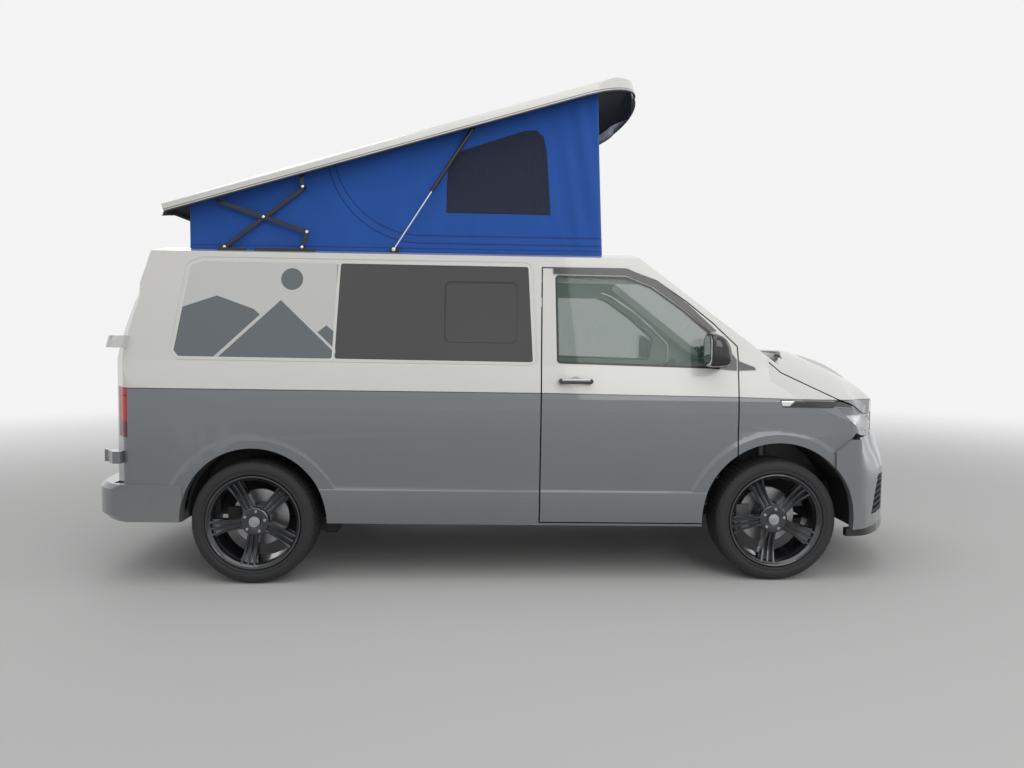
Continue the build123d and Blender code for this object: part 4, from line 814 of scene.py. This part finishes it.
web_sections = (
    # out from the axle, width, foot, top
    (0.045, 1.0, 0.030, 0.073), (0.085, 1.1, 0.026, 0.066), (0.13, 1.0, 0.020, 0.052),
    (0.18, 1.25, 0.020, 0.050), (0.225, 1.6, 0.030, 0.066), (0.2415, 1.75, 0.045, 0.082))
hub_profile = [
    (0.020, 0.032), (0.072, 0.032), (0.083, 0.036), (0.0845, 0.041), (0.0840, 0.074), (0.080, 0.080),
    (0.066, 0.084), (0.030, 0.084), (0.010, 0.070), (0.010, 0.032)]
cap_profile = [
    (0.060, 0.0005), (0.060, 0.0325), (0.086, 0.0325), (0.0880, 0.0315), (0.0882, 0.0280), (0.0868, 0.0265),
    (0.0878, 0.0180), (0.0885, 0.0005)]
disc_profile = [
    (-0.074, 0.075), (-0.074, 0.1645), (-0.064, 0.165), (-0.064, 0.150), (-0.056, 0.150), (-0.056, 0.165),
    (-0.046, 0.1645), (-0.046, 0.092), (0.0, 0.070), (0.040, 0.068), (0.040, 0.034), (-0.070, 0.034)]
spoke_count, bolt_circle, bolt_face = 5, 0.060, 0.0855
for corner in ("front_left", "front_right", "rear_left", "rear_right"):
    low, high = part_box("tyre_" + corner)
    hub = (low + high) / 2
    side = 1 if hub.y > 0 else -1
    body = "wheel_" + corner
    parked_turn = 0.47 * side
    turned_piece("tyre_" + corner + "_wall", tyre_profile, 128, hub, side, rubber_black, body, 40,
                 "tyre_" + corner)
    blocks = []
    for inner, outer, inner_out, outer_out, skew in tread_blocks:
        blocks.append([[(-block_half + shift, across * side, foot), (block_half + shift, across * side, foot),
                        (block_half * block_taper + shift, across * side, out),
                        (-block_half * block_taper + shift, across * side, out)]
                       for across, foot, out, shift in ((inner, 0.343, inner_out, -skew / 2),
                                                        (outer, 0.341, outer_out, skew / 2))])
    tread = round_a_hub(lofted("tread_pitch", blocks), tread_count, hub, 0.0, rubber_black)
    add_piece("tyre_" + corner + "_tread", tread, rubber_black, body, 0)

    turned_piece("wheel_barrel_" + corner, rim_profile, 96, hub, side, alloy, body, 30, "rim_" + corner)
    spoke = []
    for across, lean, rise in rib_lines:
        rib = []
        for out, top, foot, wide in rib_sections:
            middle = across * (0.75 + 0.25 * out / 0.1) + math.sin(math.radians(lean)) * (out - 0.1) * 0.35
            shoulder = top - 0.004 + rise
            rib.append([(middle + wide * share, height * side, out) for share, height in (
                (-1, foot), (1, foot), (0.9, shoulder), (0.45, top + rise), (-0.45, top + rise), (-0.9, shoulder))])
        spoke.append(rib)
    spoke.append([[(web_half * wide * way, height * side, out) for way, height in (
        (-1, foot), (1, foot), (1, top), (-1, top))] for out, wide, foot, top in web_sections])
    spokes = round_a_hub(lofted("spoke", spoke), spoke_count, hub, parked_turn, alloy)
    add_piece("wheel_spokes_" + corner, spokes, alloy, body, 30)
    turned_piece("wheel_hub_" + corner, hub_profile, 64, hub, side, alloy, body)
    turned_piece("wheel_cap_" + corner, cap_profile, 48, hub, side, steel, body)
    bolt = bmesh.new()
    bmesh.ops.create_cone(bolt, segments=6, radius1=0.0098, radius2=0.0092, depth=0.012, cap_ends=True)
    bmesh.ops.bevel(bolt, geom=bolt.edges[:], offset=0.0012, segments=1, affect="EDGES")
    bmesh.ops.transform(bolt, verts=bolt.verts, matrix=Matrix.Translation((0, side * bolt_face, bolt_circle))
                        @ Matrix.Rotation(math.radians(90), 4, "X"))
    bolts = round_a_hub(mesh_of(bolt, "wheel_bolt"), spoke_count, hub, math.pi / spoke_count + parked_turn, steel)
    add_piece("wheel_bolts_" + corner, bolts, steel, body, 0)
    turned_piece("brake_disc_" + corner, disc_profile, 72, hub, side, steel, body)

# Roof: the moulded shell with its dark double trim, near-black on the faces that point down, which
# swings about a far pole behind the tail, flat steel scissor arms on silver pins, and gas struts.
roof_angle = math.radians(16.3)
pole_x, pole_z = -2.710, 1.934
shell_finish = Finish("shell_gelcoat", white_coat, 0.30, coat=0.6, coat_roughness=0.06)
x, y, z = level(shell_finish)
shut_z = pole_z + (z - pole_z) * math.cos(roof_angle) - (x - pole_x) * math.sin(roof_angle)
trim_blur = 0.0006
upper_trim = shut_z.within(1.9145, 1.9205, trim_blur)
trim = (1.9095 - shut_z).over(0, trim_blur).most(upper_trim * 0.75)
gel = shell_finish.mix(shell_finish.grain(3.0, 4.0), (0.69, 0.685, 0.66), (0.73, 0.725, 0.70))
shell_finish.colour(trim, gel, (0.02, 0.02, 0.022))
shell_finish.relief(shell_finish.grain(180.0, 2.0) * 0.2 + (1 - trim), 0.0008)
# The faces of the shell that point down take a second, near-black finish.
shell_underside = Finish("shell_underside", (0.03, 0.031, 0.034), 0.9)
shell_underside.speckle(70.0, (0.022, 0.023, 0.025), (0.042, 0.043, 0.046), 5.0)
shell_underside.relief(shell_underside.grain(400.0), 0.0008)
shell_skin = add_piece("roof_shell_skin", mesh_of(merged_copy("roof_shell"), "roof_shell_skin"), shell_finish,
                       "roof_shell", 30, "roof_shell")
shell_skin.data.materials.append(shell_underside.material)
shell_up = Vector((-math.sin(roof_angle), 0, math.cos(roof_angle)))
shell_up.rotate(Euler((0, body_rake, 0)))
for face in shell_skin.data.polygons:
    if face.normal.dot(shell_up) < -0.2:
        face.material_index = 1

black_steel = Finish("black_steel", (0.018, 0.018, 0.019), 0.35, metallic=0.4, coat=0.3)
black_steel.speckle(80.0, (0.014, 0.014, 0.015), (0.030, 0.030, 0.032), 5.0)
black_steel.relief(black_steel.grain(300.0), 0.0002)
dress(black_steel, "scissor_arm_long", "scissor_arm_cross", "scissor_link_low", "scissor_link_top", "scissor_feet",
      "strut_cylinders")
bright_rod = Finish("bright_rod", (0.72, 0.73, 0.75), 0.12, metallic=1.0)
bright_rod.set("Roughness", 0.08 + bright_rod.grain(120.0) * 0.1)
dress(bright_rod, "strut_rods")


def along(start, length, degrees):
    """The point in the side view at a length and slope from another."""
    return start + length * Vector((math.cos(math.radians(degrees)), math.sin(math.radians(degrees))))


feet_z, arm_half, arm_slope, cross_half, cross_slope = 1.912, 0.290, 37, 0.267, -18.1
arm_foot = Vector((-1.730, feet_z))
arm_middle = along(arm_foot, arm_half, arm_slope)
arm_top = along(arm_middle, arm_half, arm_slope)
elbow = along(arm_middle, cross_half, cross_slope)
pins = (
    # piece, place in the side view, half the width across, radius, height, body
    ("scissor_middle_pins", arm_middle, 0.7275, 0.0095, 0.005, "scissor_arm_long"),
    ("scissor_top_pins", arm_top, 0.7495, 0.0095, 0.005, "scissor_link_top"),
    ("scissor_elbow_pins", elbow, 0.7395, 0.0095, 0.0018, "scissor_link_low"),
    ("scissor_foot_pins", arm_foot, 0.7135, 0.009, 0.0018, "root"),
    ("scissor_link_pins", Vector((-1.268, feet_z)), 0.7615, 0.009, 0.004, "root"),
    ("strut_foot_pins", Vector((-0.742, feet_z)), 0.732, 0.009, 0.004, "strut_rods"),
)
head_profile = ((1.0, 0.0), (1.0, 0.35), (0.8, 0.75), (0.45, 0.95))
for pin_name, place, across, radius, height, body in pins:
    for side_name, side in both_sides:
        rows = [[(radius * out * c, height * up * side, radius * out * s) for c, s in around(12)]
                for out, up in head_profile]
        head = round_a_hub(lofted(pin_name, [rows]), 1, stand(place.x, across * side, place.y), 0.0, bright_rod)
        add_piece(pin_name + "_" + side_name, head, bright_rod, body, 180)

# Roof canvas: one band of coated blue cloth round the opening, hung from the shell and gathered at its
# hem to the roof, with a stitched flap seam and a dark insect-mesh window in each side.
canvas_blue = Finish("canvas_cloth", (0.004, 0.085, 0.42), 0.78, sheen_weight=0.12, sheen_roughness=0.6)
x, y, z = level(canvas_blue)
slack = canvas_blue.grain(7.0, 5.0, (1, 1, 0.35))
on_side = (abs(y) - 0.66).over(0, 0.005)


def seam_line(height, left, radius):
    """How far a point is from a seam that comes down a quarter round and runs on level."""
    from_x, from_z = x - left - radius, z - height - radius
    arc = abs((from_x * from_x + from_z * from_z).root() - radius)
    in_arc = (left + radius - x).over(0, 0.001) * (height + radius - z).over(0, 0.001)
    flat_run = abs(z - height) + (left + radius - x).most(0)
    upright = abs(x - left) + (height + radius - z).most(0)
    return (arc + (1 - in_arc) * 9).least(flat_run).least(upright)


seam_distance = seam_line(2.000, -1.105, 0.52).least(seam_line(1.955, -1.145, 0.56))
seam = (1 - seam_distance.over(0.004, 0.003)) * on_side
stitch = ((x + z) * 900.0).sine()
hem = 1 - abs(z - 1.925).over(0.003, 0.002)
weave = ((x + y) * 3400.0).sine() * (z * 3400.0).sine()
# Painted shade: the slack grain that bumps the folds also colours the cloth, darker in their hollows and lighter on
# their crests.
cloth = canvas_blue.mix(slack, (0.003, 0.070, 0.36), (0.006, 0.100, 0.47))
canvas_blue.colour(seam.most(hem) * 0.75, cloth, (0.001, 0.020, 0.13))
canvas_blue.relief(slack * 6.0 + weave * 0.25 + (1 - seam) * 1.2 + seam * stitch * 0.4, 0.0012)

rear_x, front_x, half_y, corner_r, column_pitch = -1.953, 0.498, 0.688, 0.045, 0.014
corners = [Vector(c) for c in ((front_x, -half_y), (front_x, half_y), (rear_x, half_y), (rear_x, -half_y))]
loop = []
for number, corner in enumerate(corners):
    onward = corners[(number + 1) % 4]
    back = (corners[number - 1] - corner).normalized()
    ahead = (onward - corner).normalized()
    for step in range(7):
        t = step / 6
        loop.append(corner + back * corner_r * (1 - t) ** 2 + ahead * corner_r * t ** 2)
    here, far = corner + ahead * corner_r, onward - ahead * corner_r
    count = max(2, int((far - here).length / column_pitch))
    loop += [here.lerp(far, step / count) for step in range(1, count)]


def cloth_offset(at, share, outward):
    """How far the slack cloth stands off its flat plane, in metres: long soft folds, a gather at the
    front corner, and puckers over the hem."""
    x, y, z = at
    reach = 1 - abs(2 * share - 1) ** 3
    folds = 0.0060 * noise.noise(Vector((x * 2.2, y * 2.2, z * 0.9)))
    folds += 0.0025 * noise.noise(Vector((x * 6, y * 6, z * 2 + 5)))
    gather = math.exp(-((x - 0.38) / 0.13) ** 2) * 0.0095 * math.sin(x * 52 + z * 9.0)
    pucker = 0.0020 * math.sin(x * 55 + y * 55) * math.exp(-share * 9)
    drag = 0.0030 * math.sin((x * 0.8 - z) * 18) * math.exp(-((x + 0.55) / 0.5) ** 2)
    return (folds + (gather + drag) * abs(outward.y)) * reach + pucker * min(1, share * 12)


depsgraph = bpy.context.evaluated_depsgraph_get()
hull_tree = BVHTree.FromObject(bpy.data.objects["roof_panel_skin"], depsgraph)
lid_tree = BVHTree.FromObject(shell_skin, depsgraph)
cloth_rows, front_lean, clear_below, clear_above, clear_outside = 62, 0.050, 0.002, 0.004, 0.004
form = bmesh.new()
columns = []
for number, (px, py) in enumerate(loop):
    ahead = loop[(number + 1) % len(loop)] - loop[number - 1]
    outward = Vector((ahead.y, -ahead.x, 0)).normalized()
    lean = front_lean * max(0.0, 1 - (front_x - px) / 0.06)
    foot = hull_tree.ray_cast(stand(px, py, 2.2), -level_up)[0]
    top = lid_tree.ray_cast(stand(px - lean, py, 1.93), level_up)[0]
    foot = Vector((foot.x, py, foot.z + clear_below))
    top = Vector((top.x, py, top.z - clear_above))
    column = []
    for row in range(cloth_rows + 1):
        share = row / cloth_rows
        flat = foot.lerp(top, share)
        column.append(form.verts.new(flat + outward * (cloth_offset(flat, share, outward) - clear_outside)))
    columns.append(column)
joined(form, list(zip(*columns)))
bmesh.ops.recalc_face_normals(form, faces=form.faces)
area = sum(face.calc_area() for face in form.faces)
canvas = modified(mesh_of(form, "roof_canvas_cloth"), "SOLIDIFY", {"thickness": 0.0015, "offset": -1})
canvas = add_piece("roof_canvas_cloth", canvas, canvas_blue, "root", 80, "roof_canvas")

# Mesh windows: fine navy netting, hemmed all round and let into each side
# of the canvas. The net follows the cloth's folds and stands a little proud of it along its hem.
netting = Finish("window_netting", (0.012, 0.020, 0.055), 0.7)
x, y, z = level(netting)
netting.colour((x * 620.0).sine() * 0.5 + 0.5, (0.009, 0.014, 0.036), (0.020, 0.030, 0.070))
netting.relief((x * 4200.0).sine() * (z * 4200.0).sine(), 0.0006)
canvas_tree = BVHTree.FromObject(canvas, bpy.context.evaluated_depsgraph_get())
window_line = [Vector(p) for p in (
    (-0.439, 2.136), (-0.437, 2.300), (-0.425, 2.425), (-0.375, 2.490), (-0.180, 2.556), (0.020, 2.622),
    (0.085, 2.627), (0.130, 2.590), (0.150, 2.500), (0.178, 2.135))]
middle = sum(window_line, Vector((0, 0))) / len(window_line)
edge_points = [a.lerp(b, step / 8) for a, b in zip(window_line, window_line[1:] + window_line[:1])
               for step in range(8)]
net_rings = (
    # share of the way out, proud of the canvas
    (1.0, 0.0006), (0.985, 0.0026), (0.97, 0.0018), (0.8, 0.0018), (0.6, 0.0018), (0.4, 0.0018), (0.2, 0.0018))
windows = []
for side_name, side in both_sides:
    inward = Vector((0, -side, 0))
    form = bmesh.new()
    rings = []
    for share, proud in net_rings:
        ring = []
        for point in edge_points:
            at = middle.lerp(point, share)
            on_cloth = canvas_tree.ray_cast(stand(at.x, side * 0.9, at.y), inward)[0]
            ring.append(form.verts.new(on_cloth - inward * proud))
        rings.append(ring)
    joined(form, rings)
    form.faces.new(rings[-1])
    bmesh.ops.recalc_face_normals(form, faces=form.faces)
    if sum(face.normal.y for face in form.faces) * side < 0:
        bmesh.ops.reverse_faces(form, faces=form.faces)
    net = modified(mesh_of(form, "mesh_window_" + side_name), "SOLIDIFY", {"thickness": 0.0010, "offset": -1})
    windows.append(add_piece("mesh_window_" + side_name, net, netting, "root", 60))
for soft in [canvas] + windows:
    stand(-0.7, 0, 1.903)
    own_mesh(soft)
